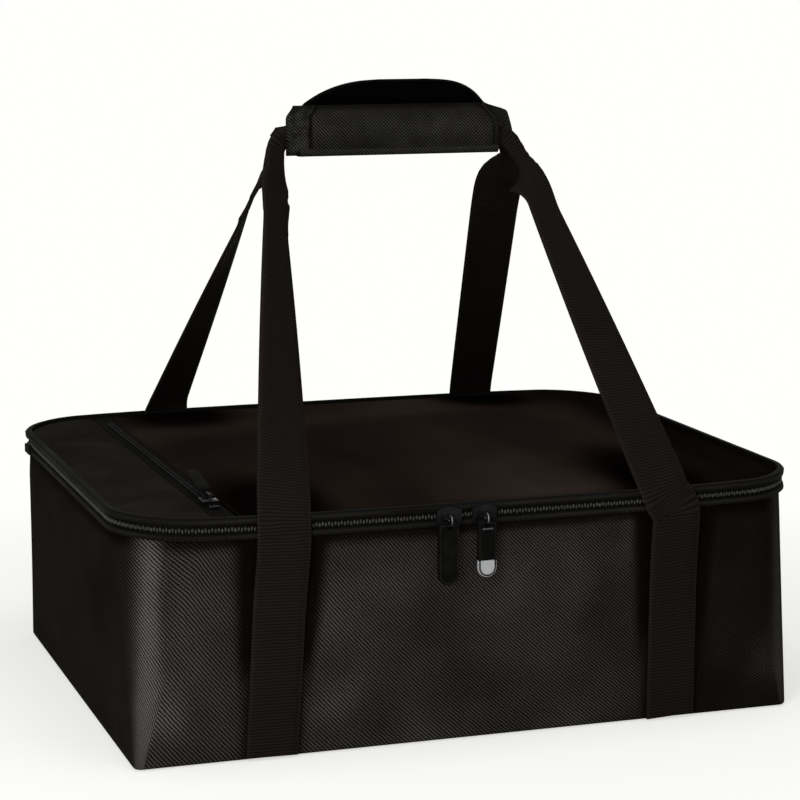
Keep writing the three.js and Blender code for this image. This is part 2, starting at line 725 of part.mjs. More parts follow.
// A main pull hangs with its eye's upper edge inside the lowest part of the ring.
const EYE_EDGE_DROP = Math.sqrt((RING_RADIUS - RING_WIRE / 2 - 0.05) ** 2 - (PULL_THICKNESS / 2) ** 2);
const EYE_Z = CHAIN_PARTING - RING_DROP - EYE_EDGE_DROP - PULL_EYE;

function placeTab(shape, x) {
  const tab = new THREE.ExtrudeGeometry(shape, {
    depth: PULL_THICKNESS,
    bevelEnabled: false,
    curveSegments: 8,
  });
  tab.rotateX(Math.PI / 2);
  return tab.translate(x, BAR_Y + PULL_THICKNESS / 2, EYE_Z);
}

// Pocket zip: chain, slider on top of it, end stop, and a pull held by its crossbar under the arch.
const CHAIN_TOP = LID_TOP + GAP + POCKET_CHAIN_HEIGHT;
const POCKET_PLATE = CHAIN_TOP + GAP;
const POCKET_BAR_Z = POCKET_PLATE + POCKET_SLIDER.wall + GAP + POCKET_CROSSBAR / 2;
const POCKET_BAR_Y = POCKET_SLIDER_Y;

function pocketChain() {
  const half = POCKET_CHAIN_WIDTH / 2;
  return block(
    POCKET_ZIP_X - half,
    POCKET_ZIP_X + half,
    POCKET_ZIP_FRONT,
    POCKET_ZIP_BACK,
    LID_TOP + GAP,
    CHAIN_TOP,
  );
}

function pocketSlider() {
  const { length, width, wall } = POCKET_SLIDER;
  const [x, y] = [POCKET_ZIP_X, POCKET_SLIDER_Y];
  const [side, end] = [width / 2, length / 2];
  const plate = block(x - side, x + side, y - end, y + end, POCKET_PLATE, POCKET_PLATE + wall);
  const low = POCKET_PLATE + wall / 2;
  const under = POCKET_BAR_Z + POCKET_CROSSBAR / 2 + 0.5;
  const bar = BAIL_BAR / 2;
  let solid = toSolid(plate);
  const reach = end - 1.5;
  solid = solid.add(toSolid(block(x - bar, x + bar, y - reach, y + reach, under, under + BAIL_BAR)));
  for (const way of [-1, 1]) {
    const at = y + way * (reach - bar);
    solid = solid.add(toSolid(block(x - bar, x + bar, at - bar, at + bar, low, under + BAIL_BAR)));
  }
  return toGeometry(solid);
}

// The pull lies back from its crossbar and rises a little: an open eye, then a flat tab.
function pocketPull() {
  const { width, length, thickness, rise } = POCKET_PULL;
  const half = width / 2;
  const bar = POCKET_CROSSBAR / 2;
  const eyeLength = POCKET_SLIDER.length / 2 + 2.5;
  const shape = new THREE.Shape();
  shape.moveTo(-half, -bar);
  shape.lineTo(half, -bar);
  shape.lineTo(half, length - half);
  shape.absarc(0, length - half, half, 0, Math.PI, false);
  shape.lineTo(-half, -bar);
  const eye = new THREE.Path();
  eye.moveTo(-half + 1.6, bar);
  eye.lineTo(-half + 1.6, eyeLength);
  eye.lineTo(half - 1.6, eyeLength);
  eye.lineTo(half - 1.6, bar);
  eye.closePath();
  shape.holes.push(eye);
  const flat = { depth: POCKET_CROSSBAR, bevelEnabled: false, curveSegments: 6 };
  const frame = new THREE.ExtrudeGeometry(shape, flat);
  frame.translate(0, 0, -bar);
  const tab = new THREE.Shape();
  tab.moveTo(-half, eyeLength + 1);
  tab.lineTo(half, eyeLength + 1);
  tab.lineTo(half, length - half);
  tab.absarc(0, length - half, half, 0, Math.PI, false);
  tab.closePath();
  const thick = new THREE.ExtrudeGeometry(tab, { ...flat, depth: thickness });
  thick.translate(0, 0, -bar);
  const pull = toGeometry(toSolid(frame).add(toSolid(thick)));
  pull.rotateX(THREE.MathUtils.degToRad(rise));
  return pull.translate(POCKET_ZIP_X, POCKET_BAR_Y, POCKET_BAR_Z);
}

function pocketStop() {
  const half = POCKET_CHAIN_WIDTH / 2 + 1;
  const front = POCKET_ZIP_FRONT - GAP;
  return block(POCKET_ZIP_X - half, POCKET_ZIP_X + half, front - 3, front, LID_TOP + GAP, LID_TOP + GAP + 1.6);
}

// Tub
addMesh("outer_shell", shell(), "twill");
addMesh("base_board", slab(SHELL_WALL + GAP, BOARD_WALL, SHELL_WALL + BASE_EDGE), "board");
addMesh("base_foam", slab(BASE_FOAM_BOTTOM, FOAM_WALL, INNER.liner + GAP), "foam");
addMesh("wall_foam", wallFoam(), "foam");
addMesh("inner_liner", liner(), "liner");

// Zip round the rim
addMesh("lower_zip_band", bandRing(RIM, LOWER_BAND_HEIGHT, -SHELL_WALL, BAND_PROUD), "binding");
addMesh("lower_zip_chain", chainHalf(CHAIN_PARTING - GAP / 2 - CHAIN_HALF), "chain");
addMesh("upper_zip_chain", chainHalf(CHAIN_PARTING + GAP / 2), "chain");
addMesh("upper_zip_band", bandRing(UPPER_BAND_BOTTOM, UPPER_BAND_HEIGHT, -SHELL_WALL, BAND_PROUD), "binding");
addMesh("back_hinge_strip", hingeStrip(), "twill");
addMesh("zip_end_tab_left", endTab(-1), "binding");
addMesh("zip_end_tab_right", endTab(1), "binding");

// Lid
const WHOLE = BASE_LENGTH;
const pocketSeam = POCKET_ZIP_X - POCKET_TAPE / 2;
const seamGap = PANEL_SEAM / 2;
addMesh("lid_main_panel", lidSheet(LID_FABRIC_BOTTOM, LID_TOP, SEAM_X + seamGap, WHOLE), "twill");
addMesh("lid_pocket_panel", lidSheet(LID_FABRIC_BOTTOM, LID_TOP, -WHOLE, pocketSeam - seamGap), "twill");
const tape = lidSheet(LID_FABRIC_BOTTOM, LID_TOP, pocketSeam + seamGap, SEAM_X - seamGap);
addMesh("pocket_zip_tape", tape, "binding");
addMesh("pocket_lining", lidSheet(POCKET_LINING_BOTTOM, LID_FABRIC_BOTTOM - GAP, -WHOLE, WHOLE), "binding");
addMesh("lid_foam", lidSheet(LID_FOAM_BOTTOM, POCKET_LINING_BOTTOM - GAP, -WHOLE, WHOLE), "foam");
addMesh("lid_liner", lidSheet(LID_LINER_BOTTOM, LID_FOAM_BOTTOM - GAP, -WHOLE, WHOLE), "liner");

// Pocket zip
addMesh("pocket_zip_chain", pocketChain(), "chain");
addMesh("pocket_zip_stop", pocketStop(), "metal");
addMesh("pocket_slider", pocketSlider(), "metal");
addMesh("pocket_pull", pocketPull(), "rubber");

// Handles
for (const [name, strap] of Object.entries(STRAPS)) {
  addMesh(name + "_strap_sewn", sewnStrap(strap), "webbing");
  addMesh(name + "_strap_free", freeStrap(strap), "webbing");
}
addMesh("front_handle_webbing", gripWebbing(-1), "webbing");
addMesh("back_handle_webbing", gripWebbing(1), "webbing");
addMesh("grip_pad", gripPad(), "twill");
addMesh("grip_flap", gripFlap(), "twill");
addMesh("grip_hook_strip", closureStrip(-1, FLAP_TOP - 1, HOOK_HEIGHT, HOOK_INSET), "binding");
addMesh("grip_loop_strip", closureStrip(1, PAD_TOP - 3, LOOP_HEIGHT, LOOP_INSET), "binding");

// Main sliders and pulls
for (const [name, x] of Object.entries(SLIDERS)) {
  addMesh("main_slider_" + name, mainSlider(x), "metal");
  addMesh("main_pull_ring_" + name, pullRing(x), "metal");
  addMesh("main_pull_" + name, pullTab(x, PULLS[name]), "rubber");
}
addMesh("main_pull_tip_right", pullTip(SLIDERS.right, PULLS.right), "tip");

export default bag;
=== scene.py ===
"""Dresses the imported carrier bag: woven tub, zipped lid, webbing handles and padded grip.

Metres, +X to the right, +Y to the back, +Z up, the origin under the middle of the base.
"""

import logging
import math
from dataclasses import asdict, dataclass
from enum import Enum
from typing import Callable, Iterable, Sequence

import bmesh
import bpy
import numpy as np
from mathutils import Matrix, Vector, noise


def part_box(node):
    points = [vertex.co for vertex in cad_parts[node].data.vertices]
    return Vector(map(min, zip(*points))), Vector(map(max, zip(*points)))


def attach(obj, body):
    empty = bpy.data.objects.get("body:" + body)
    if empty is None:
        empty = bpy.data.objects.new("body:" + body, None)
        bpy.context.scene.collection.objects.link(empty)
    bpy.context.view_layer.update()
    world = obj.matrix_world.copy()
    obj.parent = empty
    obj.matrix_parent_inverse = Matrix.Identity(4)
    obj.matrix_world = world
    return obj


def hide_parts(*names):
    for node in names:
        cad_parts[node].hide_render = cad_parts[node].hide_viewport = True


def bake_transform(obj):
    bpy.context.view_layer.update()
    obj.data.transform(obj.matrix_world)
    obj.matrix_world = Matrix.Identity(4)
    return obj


MM = 0.001
Colour = tuple[float, float, float]
Points = np.ndarray
Real = float | Points
UP, FRONT = np.array([0.0, 0.0, 1.0]), np.array([0.0, -1.0, 0.0])
Piece = bpy.types.Object
Tree = bpy.types.NodeTree
Socket = bpy.types.NodeSocket
Sockets = bpy.types.bpy_prop_collection
log = logging.getLogger("bag")


class Body(str, Enum):
    """The moving bodies of the frame."""

    TUB = "tub"
    LID = "lid"
    FRONT_HANDLE = "front_handle"
    BACK_HANDLE = "back_handle"
    FLAP = "grip_flap"
    SLIDER_LEFT = "main_slider_left"
    SLIDER_RIGHT = "main_slider_right"
    PULL_LEFT = "main_pull_left"
    PULL_RIGHT = "main_pull_right"
    POCKET_SLIDER = "pocket_slider"
    POCKET_PULL = "pocket_pull"


class Slot(str, Enum):
    """The record's material slots."""

    TWILL = "twill"
    BINDING = "binding"
    WEBBING = "webbing"
    CLOSURE = "closure"
    FOAM = "foam"
    LINER = "liner"
    BOARD = "board"
    CHAIN = "zip_chain"
    METAL = "slider_metal"
    RUBBER = "pull_rubber"
    TIP = "pull_tip"


class Weave(Enum):
    """How a cloth is woven, by the name of its node group."""

    TWILL = "Twill weave"
    RIBBED = "Webbing weave"
    PLAIN = "Plain weave"
    FUZZ = "Pile"


# Numbers and points


def smooth(value: Real, low: float, high: float) -> Points:
    """Smooth step.

    Args:
        value: where to read it.
        low: where it is 0.
        high: where it is 1.

    Returns:
        The step, from 0 to 1.
    """
    t = np.clip((np.asarray(value, float) - low) / (high - low), 0.0, 1.0)
    return t * t * (3 - 2 * t)


def mix(a: Real, b: Real, t: Real) -> Real:
    """Goes from a to b as t goes from 0 to 1."""
    return a + (b - a) * t


def ripple(points: Points, size: float, seed: float = 0.0) -> Points:
    """Soft noise.

    Args:
        points: array of points, the last axis X, Y and Z.
        size: length of one wave, in metres.
        seed: moves the pattern.

    Returns:
        A value from about -1 to 1 for each point.
    """
    shift = Vector((seed, 0.37 * seed, -seed))
    flat = [noise.noise(Vector(p) / size + shift) for p in points.reshape(-1, 3).tolist()]
    return np.array(flat).reshape(points.shape[:-1])


def unit(vectors: Points) -> Points:
    """Vectors made one unit long."""
    return vectors / np.maximum(np.linalg.norm(vectors, axis=-1, keepdims=True), 1e-12)


def lengths_along(points: Points) -> Points:
    """Distance along a line of points from its first one."""
    steps = np.linalg.norm(np.diff(points, axis=0), axis=1)
    return np.concatenate([[0.0], np.cumsum(steps)])


def hump(off: Real, width: Real) -> Points:
    """Bell curve: 1 where off is 0, falling away over a width."""
    return np.exp(-((off / width) ** 2))


def spots(*places: Real) -> Points:
    """Points from their coordinates, each a number or an array."""
    return np.stack(np.broadcast_arrays(*places), -1)


def crowded(count: int, share: float) -> Points:
    """Places from -1 to 1, by a share closer together towards both ends."""
    even = np.linspace(-1, 1, count)
    return mix(even, np.sin(even * math.pi / 2), share)


# Meshes


def place(name: str, data: bpy.types.ID) -> Piece:
    """A new object in the scene, at the origin.

    Args:
        name: its name.
        data: its mesh, lamp or camera.

    Returns:
        The object.
    """
    piece = bpy.data.objects.new(name, data)
    bpy.context.scene.collection.objects.link(piece)
    return piece


def make_object(name: str, points: Points, faces: list[list[int]], uv: Points | None = None,
                sharp: float = 40.0) -> Piece:
    """Makes a smooth-shaded mesh object at the origin.

    Args:
        name: the piece's name.
        points: its vertices.
        faces: lists of vertex numbers.
        uv: one pair for each face corner, in metres.
        sharp: edges sharper than this many degrees stay crisp.

    Returns:
        The new object.
    """
    mesh = bpy.data.meshes.new(name)
    mesh.from_pydata(points.tolist(), [], faces)
    if uv is not None:
        layer = mesh.uv_layers.new(name="UVMap")
        layer.data.foreach_set("uv", np.asarray(uv, np.float32).ravel())
    mesh.shade_smooth()
    mesh.set_sharp_from_angle(angle=math.radians(sharp))
    return place(name, mesh)


def skin(name: str, rows: Points, uv: Points | None = None, joined: bool = False,
         sharp: float = 40.0) -> Piece:
    """Closed body from loops of points, each joined to the next.

    Args:
        name: the piece's name.
        rows: array of loops, one row each.
        uv: pairs for each row and column, with one more column, and one more row where joined.
        joined: the last loop meets the first, and else a fan closes each end.
        sharp: edges sharper than this many degrees stay crisp.

    Returns:
        The new object, its faces outwards.
    """
    rows = np.asarray(rows, float)
    count, width = rows.shape[:2]
    spans = count if joined else count - 1
    i, j = np.meshgrid(np.arange(spans), np.arange(width), indexing="ij")
    k, n = (j + 1) % width, (i + 1) % count
    quads = np.stack([i * width + j, i * width + k, n * width + k, n * width + j], -1).reshape(-1, 4)
    points = rows.reshape(-1, 3)
    a, b, c, d = (points[quads[:, s]] for s in range(4))
    volume = np.einsum("ij,ij->", a, np.cross(b, c)) + np.einsum("ij,ij->", a, np.cross(c, d))
    faces = quads.tolist()
    corners = None
    if uv is not None:
        corners = np.stack([uv[i, j], uv[i, j + 1], uv[i + 1, j + 1], uv[i + 1, j]], -2).reshape(-1, 2)
    if not joined:
        ends = []
        for row, first in ((0, True), (count - 1, False)):
            middle = len(points)
            points = np.vstack([points, rows[row].mean(0)])
            for s in range(width):
                p, q = row * width + s, row * width + (s + 1) % width
                ends.append([middle, q, p] if first else [middle, p, q])
        tip = np.array(ends)
        volume += np.einsum("ij,ij->", points[tip[:, 0]], np.cross(points[tip[:, 1]], points[tip[:, 2]]))
        faces += ends
        if corners is not None:
            corners = np.vstack([corners, points[tip].reshape(-1, 3)[:, :2]])
    if volume < 0:
        faces = [face[::-1] for face in faces]
        if corners is not None:
            sizes = [len(face) for face in faces]
            starts = np.concatenate([[0], np.cumsum(sizes)[:-1]])
            order = np.concatenate([np.arange(s + n - 1, s - 1, -1) for s, n in zip(starts, sizes)])
            corners = corners[order]
    return make_object(name, points, faces, corners, sharp)


def sheet(name: str, low: Points, high: Points, uv: Points) -> Piece:
    """Closed sheet between two grids of points.

    Args:
        name: the piece's name.
        low: grid of points of one face.
        high: the same of the other face.
        uv: a pair for each point of the grid, in metres.

    Returns:
        The new object.
    """
    rows = np.concatenate([low, high[:, ::-1]], axis=1)
    pairs = np.concatenate([uv, uv[:, ::-1], uv[:, :1]], axis=1)
    return skin(name, rows, pairs)


def tube(name: str, path: Points, radius: float, sides: int = 8, joined: bool = False) -> Piece:
    """Round tube along a line of points.

    Args:
        name: the piece's name.
        path: the line.
        radius: of the tube.
        sides: points round it.
        joined: the line is a ring.

    Returns:
        The new object.
    """
    tangents = unit(np.roll(path, -1, 0) - np.roll(path, 1, 0) if joined else np.gradient(path, axis=0))
    across = np.cross(tangents, [0.0, 0.0, 1.0])
    flat = np.linalg.norm(across, axis=1) < 1e-3
    across[flat] = np.cross(tangents[flat], [0.0, 1.0, 0.0])
    across = unit(across)
    up = np.cross(across, tangents)
    angles = np.arange(sides) / sides * 2 * math.pi
    rows = path[:, None] + radius * (
        np.cos(angles)[None, :, None] * across[:, None] + np.sin(angles)[None, :, None] * up[:, None]
    )
    return skin(name, rows, joined=joined)


def from_bmesh(name: str, shape: bmesh.types.BMesh) -> Piece:
    """A new object from a shape, which it frees.

    Args:
        name: the piece's name.
        shape: its faces.

    Returns:
        The object.
    """
    mesh = bpy.data.meshes.new(name)
    shape.to_mesh(mesh)
    shape.free()
    return place(name, mesh)


def finished_mesh(piece: Piece) -> Piece:
    """Makes a piece's modifiers part of its plain mesh.

    Args:
        piece: with its modifiers.

    Returns:
        The same piece, plain.
    """
    graph = bpy.context.evaluated_depsgraph_get()
    mesh = bpy.data.meshes.new_from_object(piece.evaluated_get(graph), depsgraph=graph)
    piece.modifiers.clear()
    piece.data = mesh
    mesh.name = piece.name
    return piece


def join(name: str, parts: Sequence[Piece]) -> Piece:
    """Joins meshes into one piece.

    Args:
        name: of the whole.
        parts: its parts, which it takes over.

    Returns:
        The joined object.
    """
    whole = bmesh.new()
    for part in parts:
        whole.from_mesh(part.data)
    for part in parts:
        bpy.data.objects.remove(part)
    return from_bmesh(name, whole)


def set_wear_and_shade(piece: Piece, wear: Real) -> Piece:
    """Stores how light a cloth's colour is at each point, from real wear and dust together with painted shade and
    painted highlights: 1 is as usual, 0 is deep and dark, a painted shade.

    Args:
        piece: the cloth.
        wear: one value, or one for each of its first points.

    Returns:
        The piece.
    """
    count = len(piece.data.vertices)
    values = np.ones(count, np.float32)
    if isinstance(wear, np.ndarray):
        values[: wear.size] = wear.ravel()
    else:
        values[:] = wear
    # This attribute carries real wear and dust and, on several pieces, painted shade and painted highlights.
    layer = piece.data.attributes.get("WearAndShade") or piece.data.attributes.new("WearAndShade", "FLOAT", "POINT")
    layer.data.foreach_set("value", values)
    return piece


def dress(piece: Piece, finish: "Finish", body: Body | tuple[Body, Body, Points, Points],
          stands_for: Sequence[str] = ()) -> Piece:
    """Gives a piece its finish, its body and the nodes that it stands for.

    Args:
        piece: the finished mesh.
        finish: its material.
        body: the body that it rides on, or two bodies and a stretch between them, which are not used: such a piece
            rides on no body, its place baked into its mesh.
        stands_for: CAD nodes that it hides.

    Returns:
        The piece.
    """
    piece.data.materials.clear()
    piece.data.materials.append(finish.material())
    if isinstance(finish, Cloth) and "WearAndShade" not in piece.data.attributes:
        set_wear_and_shade(piece, 1.0)
    if isinstance(body, tuple):
        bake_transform(piece)
    else:
        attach(piece, body.value)
    if stands_for:
        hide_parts(*stands_for)
    log.info("%-28s %6d faces, %s", piece.name, len(piece.data.polygons), finish.name)
    return piece


def dress_solid(name: str, node: str, width: float, finish: "Finish", body: Body, segments: int = 2,
                change: Matrix | None = None) -> Piece:
    """Dresses a solid in its own shape, with rounded edges.

    Args:
        name: the piece's name.
        node: the CAD node that it replaces.
        width: of the rounding.
        finish: its material.
        body: the body that it rides on.
        segments: faces across the rounding.
        change: how its shape is moved or narrowed.

    Returns:
        The piece.
    """
    source = bmesh.new()
    source.from_mesh(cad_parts[node].data)
    bmesh.ops.remove_doubles(source, verts=source.verts, dist=1e-6)
    bmesh.ops.dissolve_limit(source, angle_limit=math.radians(1.5), verts=source.verts, edges=source.edges)
    piece = from_bmesh(name, source)
    bevel = piece.modifiers.new("Rounding", "BEVEL")
    bevel.width, bevel.segments, bevel.limit_method = width, segments, "ANGLE"
    bevel.angle_limit = math.radians(35)
    bevel.use_clamp_overlap = True
    finished_mesh(piece)
    piece.data.shade_smooth()
    piece.data.set_sharp_from_angle(angle=math.radians(50))
    if change:
        piece.data.transform(change)
    return dress(piece, finish, body, [node])


def paint(finishes: "dict[str, Finish]") -> None:
    """Gives CAD nodes that stay as they are their finishes.

    Args:
        finishes: each node's finish.
    """
    for name, finish in finishes.items():
        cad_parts[name].data.materials.clear()
        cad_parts[name].data.materials.append(finish.material())


def both_faces(wear: Points) -> Points:
    """Wear and painted shade of a sheet's two faces from that of one."""
    return np.concatenate([wear, wear[:, ::-1]], axis=1)


# Materials


class Nodes:
    """Lays nodes in one tree."""

    def __init__(self, tree: Tree) -> None:
        """Starts on a tree."""
        self.tree = tree

    def add(self, kind: str, inputs: dict[str | int, object] | None = None, **settings: object) -> bpy.types.Node:
        """Adds a node.

        Args:
            kind: its type.
            inputs: values or sockets for its inputs.
            **settings: its own properties.

        Returns:
            The node.
        """
        node = self.tree.nodes.new(kind)
        for key, value in settings.items():
            setattr(node, key, value)
        for key, value in (inputs or {}).items():
            self.feed(node.inputs[key], value)
        return node

    def feed(self, socket: Socket, value: object) -> None:
        """Links a socket, or sets its value.

        Args:
            socket: an input.
            value: another socket, or a plain value.
        """
        if isinstance(value, Socket):
            self.tree.links.new(value, socket)
        else:
            socket.default_value = value

    def math(self, operation: str, *values: object, clamp: bool = False) -> Socket:
        """A Math node's result.

        Args:
            operation: what it does.
            *values: its inputs.
            clamp: keep the result from 0 to 1.

        Returns:
            Its output.
        """
        node = self.add("ShaderNodeMath", dict(enumerate(values)), operation=operation, use_clamp=clamp)
        return node.outputs[0]

    def noise(self, vector: object, scale: object, detail: float = 2.0) -> Socket:
        """A noise pattern's value."""
        node = self.add("ShaderNodeTexNoise", {"Vector": vector, "Scale": scale, "Detail": detail})
        return node.outputs[0]

    def jitter(self, vector: object, scale: float) -> Socket:
        """Noise about zero."""
        return self.math("SUBTRACT", self.noise(vector, scale), 0.5)

    def sine(self, turns: object) -> Socket:
        """Sine of a number of turns."""
        return self.math("SINE", self.math("MULTIPLY", turns, 2 * math.pi))

    def wave(self, turns: object) -> Socket:
        """A wave from 0 to 1, once in each turn."""
        return self.math("MULTIPLY_ADD", self.sine(turns), 0.5, 0.5)

    def grained(self, height: object, given: Sockets, scale: float) -> Socket:
        """A weave's height with the grain that its group is given."""
        grain = self.math("MULTIPLY", self.jitter(given["Vector"], scale), given["Grain"])
        return self.math("ADD", height, grain, clamp=True)

    def span(self, value: object, low: float, high: float, to_low: float, to_high: float) -> Socket:
        """Maps a value from one range to another, held at its ends."""
        node = self.add("ShaderNodeMapRange", dict(enumerate([value, low, high, to_low, to_high])))
        return node.outputs[0]


def new_group(name: str, inputs: dict[str, float | None], outputs: Sequence[str]) -> tuple[Nodes, Sockets, Sockets]:
    """Starts a shader node group.

    Args:
        name: of the group.
        inputs: names with their values, None for a vector.
        outputs: names of its values.

    Returns:
        The group's nodes, what it is given and what it puts out.
    """
    tree = bpy.data.node_groups.new(name, "ShaderNodeTree")
    for label, value in inputs.items():
        kind = "NodeSocketVector" if value is None else "NodeSocketFloat"
        socket = tree.interface.new_socket(label, in_out="INPUT", socket_type=kind)
        if value is not None:
            socket.default_value = value
    for label in outputs:
        tree.interface.new_socket(label, in_out="OUTPUT", socket_type="NodeSocketFloat")
    nodes = Nodes(tree)
    return nodes, nodes.add("NodeGroupInput").outputs, nodes.add("NodeGroupOutput").inputs


def twill_group() -> Tree:
    """Diagonal ribs of a twill weave, from a flat vector in metres.

    Returns:
        The group.
    """
    sizes = {"Vector": None, "Pitch": 0.0016, "Cross": 0.35, "Grain": 0.25}
    n, given, out = new_group(Weave.TWILL.value, sizes, ["Height"])
    parts = n.add("ShaderNodeSeparateXYZ", {0: given["Vector"]})
    u, v = parts.outputs[0], parts.outputs[1]
    step = n.math("MULTIPLY", given["Pitch"], math.sqrt(2))
    waver = n.math("MULTIPLY", n.jitter(given["Vector"], 260.0), 0.5)
    along = n.math("ADD", n.math("DIVIDE", n.math("ADD", u, v), step), waver)
    against = n.math("DIVIDE", n.math("SUBTRACT", u, v), step)
    knot = n.math("MULTIPLY", n.wave(against), given["Cross"])
    woven = n.math("MULTIPLY", n.wave(along), n.math("SUBTRACT", 1.0, knot))
    n.feed(out["Height"], n.grained(woven, given, 2100.0))
    return n.tree


def ribbed_group() -> Tree:
    """Crosswise ribs of narrow webbing, from across and along in metres.

    Returns:
        The group.
    """
    sizes = {"Vector": None, "Pitch": 0.0019, "Half width": 0.015, "Grain": 0.3}
    n, given, out = new_group(Weave.RIBBED.value, sizes, ["Height", "Edge"])
    parts = n.add("ShaderNodeSeparateXYZ", {0: given["Vector"]})
    u, v = parts.outputs[0], parts.outputs[1]
    waver = n.math("MULTIPLY", n.jitter(given["Vector"], 120.0), 0.7)
    turns = n.math("ADD", n.math("DIVIDE", v, given["Pitch"]), waver)
    thread = n.wave(n.math("DIVIDE", u, 0.0011))
    woven = n.math("MULTIPLY", n.wave(turns), n.math("MULTIPLY_ADD", thread, -0.3, 1.0))
    inside = n.math("SUBTRACT", given["Half width"], n.math("ABSOLUTE", u))
    n.feed(out["Height"], n.grained(woven, given, 1900.0))
    n.feed(out["Edge"], n.span(inside, 0.0006, 0.0022, 1.0, 0.0))
    return n.tree


def plain_group() -> Tree:
    """Fine plain weave, from a vector in metres.

    Returns:
        The group.
    """
    n, given, out = new_group(Weave.PLAIN.value, {"Vector": None, "Pitch": 0.0008, "Grain": 0.4}, ["Height"])
    parts = n.add("ShaderNodeSeparateXYZ", {0: given["Vector"]})
    waves = [n.sine(n.math("DIVIDE", parts.outputs[s], given["Pitch"])) for s in (0, 1)]
    woven = n.math("MULTIPLY_ADD", n.math("MULTIPLY", *waves), 0.5, 0.5)
    n.feed(out["Height"], n.grained(woven, given, 1500.0))
    return n.tree


def fuzz_group() -> Tree:
    """Short pile of a hook or loop strip, from a vector in metres.

    Returns:
        The group.
    """
    n, given, out = new_group(Weave.FUZZ.value, {"Vector": None, "Pitch": 0.0012, "Grain": 0.4}, ["Height"])
    scale = n.math("DIVIDE", 1.0, given["Pitch"])
    cells = n.add("ShaderNodeTexVoronoi", {"Vector": given["Vector"], "Scale": scale})
    tuft = n.math("SUBTRACT", 1.0, cells.outputs["Distance"], clamp=True)
    n.feed(out["Height"], n.grained(tuft, given, 3000.0))
    return n.tree


def variation_group() -> Tree:
    """Broad tone of used cloth and its fine dust, from a vector in metres.

    Returns:
        The group.
    """
    n, given, out = new_group("Tone and dust", {"Vector": None, "Patch": 0.07, "Dust": 0.1}, ["Tone", "Dust"])
    scale = n.math("DIVIDE", 1.0, given["Patch"])
    tone = n.span(n.noise(given["Vector"], scale, 3.0), 0.3, 0.7, 0.0, 1.0)
    specks = n.span(n.noise(given["Vector"], 1250.0, 1.0), 0.62, 0.78, 0.0, 1.0)
    where = n.span(n.noise(given["Vector"], 55.0, 2.0), 0.45, 0.7, 0.0, 1.0)
    n.feed(out["Tone"], tone)
    n.feed(out["Dust"], n.math("MULTIPLY", n.math("MULTIPLY", specks, where), given["Dust"]))
    return n.tree


def grain_group() -> Tree:
    """Grain and light scuffs of a hard or foamed surface, from a vector in metres.

    Returns:
        The group.
    """
    n, given, out = new_group("Grain and scuffs", {"Vector": None, "Size": 0.001, "Scuffs": 0.3}, ["Height", "Scuff"])
    fine = n.noise(given["Vector"], n.math("DIVIDE", 1.0, given["Size"]), 3.0)
    broad = n.noise(given["Vector"], n.math("DIVIDE", 0.12, given["Size"]), 4.0)
    scuff = n.math("MULTIPLY", n.span(broad, 0.5, 0.72, 0.0, 1.0), given["Scuffs"])
    n.feed(out["Height"], fine)
    n.feed(out["Scuff"], scuff)
    return n.tree


GROUPS: dict[str, Callable[[], Tree]] = {
    Weave.TWILL.value: twill_group,
    Weave.RIBBED.value: ribbed_group,
    Weave.PLAIN.value: plain_group,
    Weave.FUZZ.value: fuzz_group,
    "Tone and dust": variation_group,
    "Grain and scuffs": grain_group,
}


@dataclass(frozen=True)
class Finish:
    """What all finishes share.

    Attributes:
        dark: colour of the low threads or the plain surface.
        light: colour of the high threads or the worn surface.
        rough: roughness where low and where high.
        specular: how strongly the surface reflects.
        relief: depth of its pattern, in metres.
    """

    name: str
    slot: Slot
    dark: Colour
    light: Colour
    rough: tuple[float, float] = (0.75, 0.9)
    specular: float = 0.13
    relief: float = 0.00025

    def material(self) -> bpy.types.Material:
        """The material, made on first use."""
        found = bpy.data.materials.get(self.name)
        return found or self.build(bpy.data.materials.new(self.name))

    def build(self, material: bpy.types.Material) -> bpy.types.Material:
        """Lays the material's nodes.

        Args:
            material: the new material.

        Returns:
            The same material.
        """
        material.use_nodes = True
        material.diffuse_color = (*self.dark, 1.0)
        nodes = Nodes(material.node_tree)
        shader = material.node_tree.nodes["Principled BSDF"]
        shader.inputs["Specular IOR Level"].default_value = self.specular
        factor, height, wear = self.pattern(nodes)
        colour = nodes.add("ShaderNodeMix", {0: factor}, data_type="RGBA")
        colour.inputs[6].default_value = (*self.dark, 1.0)
        colour.inputs[7].default_value = (*self.light, 1.0)
        nodes.feed(shader.inputs["Base Color"], colour.outputs[2])
        nodes.feed(shader.inputs["Roughness"], nodes.span(wear, 0.0, 1.0, *self.rough))
        bump = nodes.add("ShaderNodeBump", {"Distance": self.relief, "Height": height, "Strength": 1.0})
        nodes.feed(shader.inputs["Normal"], bump.outputs[0])
        self.extra(shader)
        return material

    def group(self, nodes: Nodes, name: str, **values: object) -> bpy.types.Node:
        """Places a shared effect.

        Args:
            nodes: where.
            name: the group's name.
            **values: its inputs, with low lines for spaces.

        Returns:
            The group node.
        """
        tree = bpy.data.node_groups.get(name) or GROUPS[name]()
        node = nodes.add("ShaderNodeGroup", node_tree=tree)
        for key, value in values.items():
            nodes.feed(node.inputs[key.replace("_", " ")], value)
        return node

    def pattern(self, nodes: Nodes) -> tuple[object, object, object]:
        """Sockets for the colour's share of light, the relief and the wear."""
        raise NotImplementedError

    def extra(self, shader: bpy.types.Node) -> None:
        """Sets what only this finish has on the shader."""


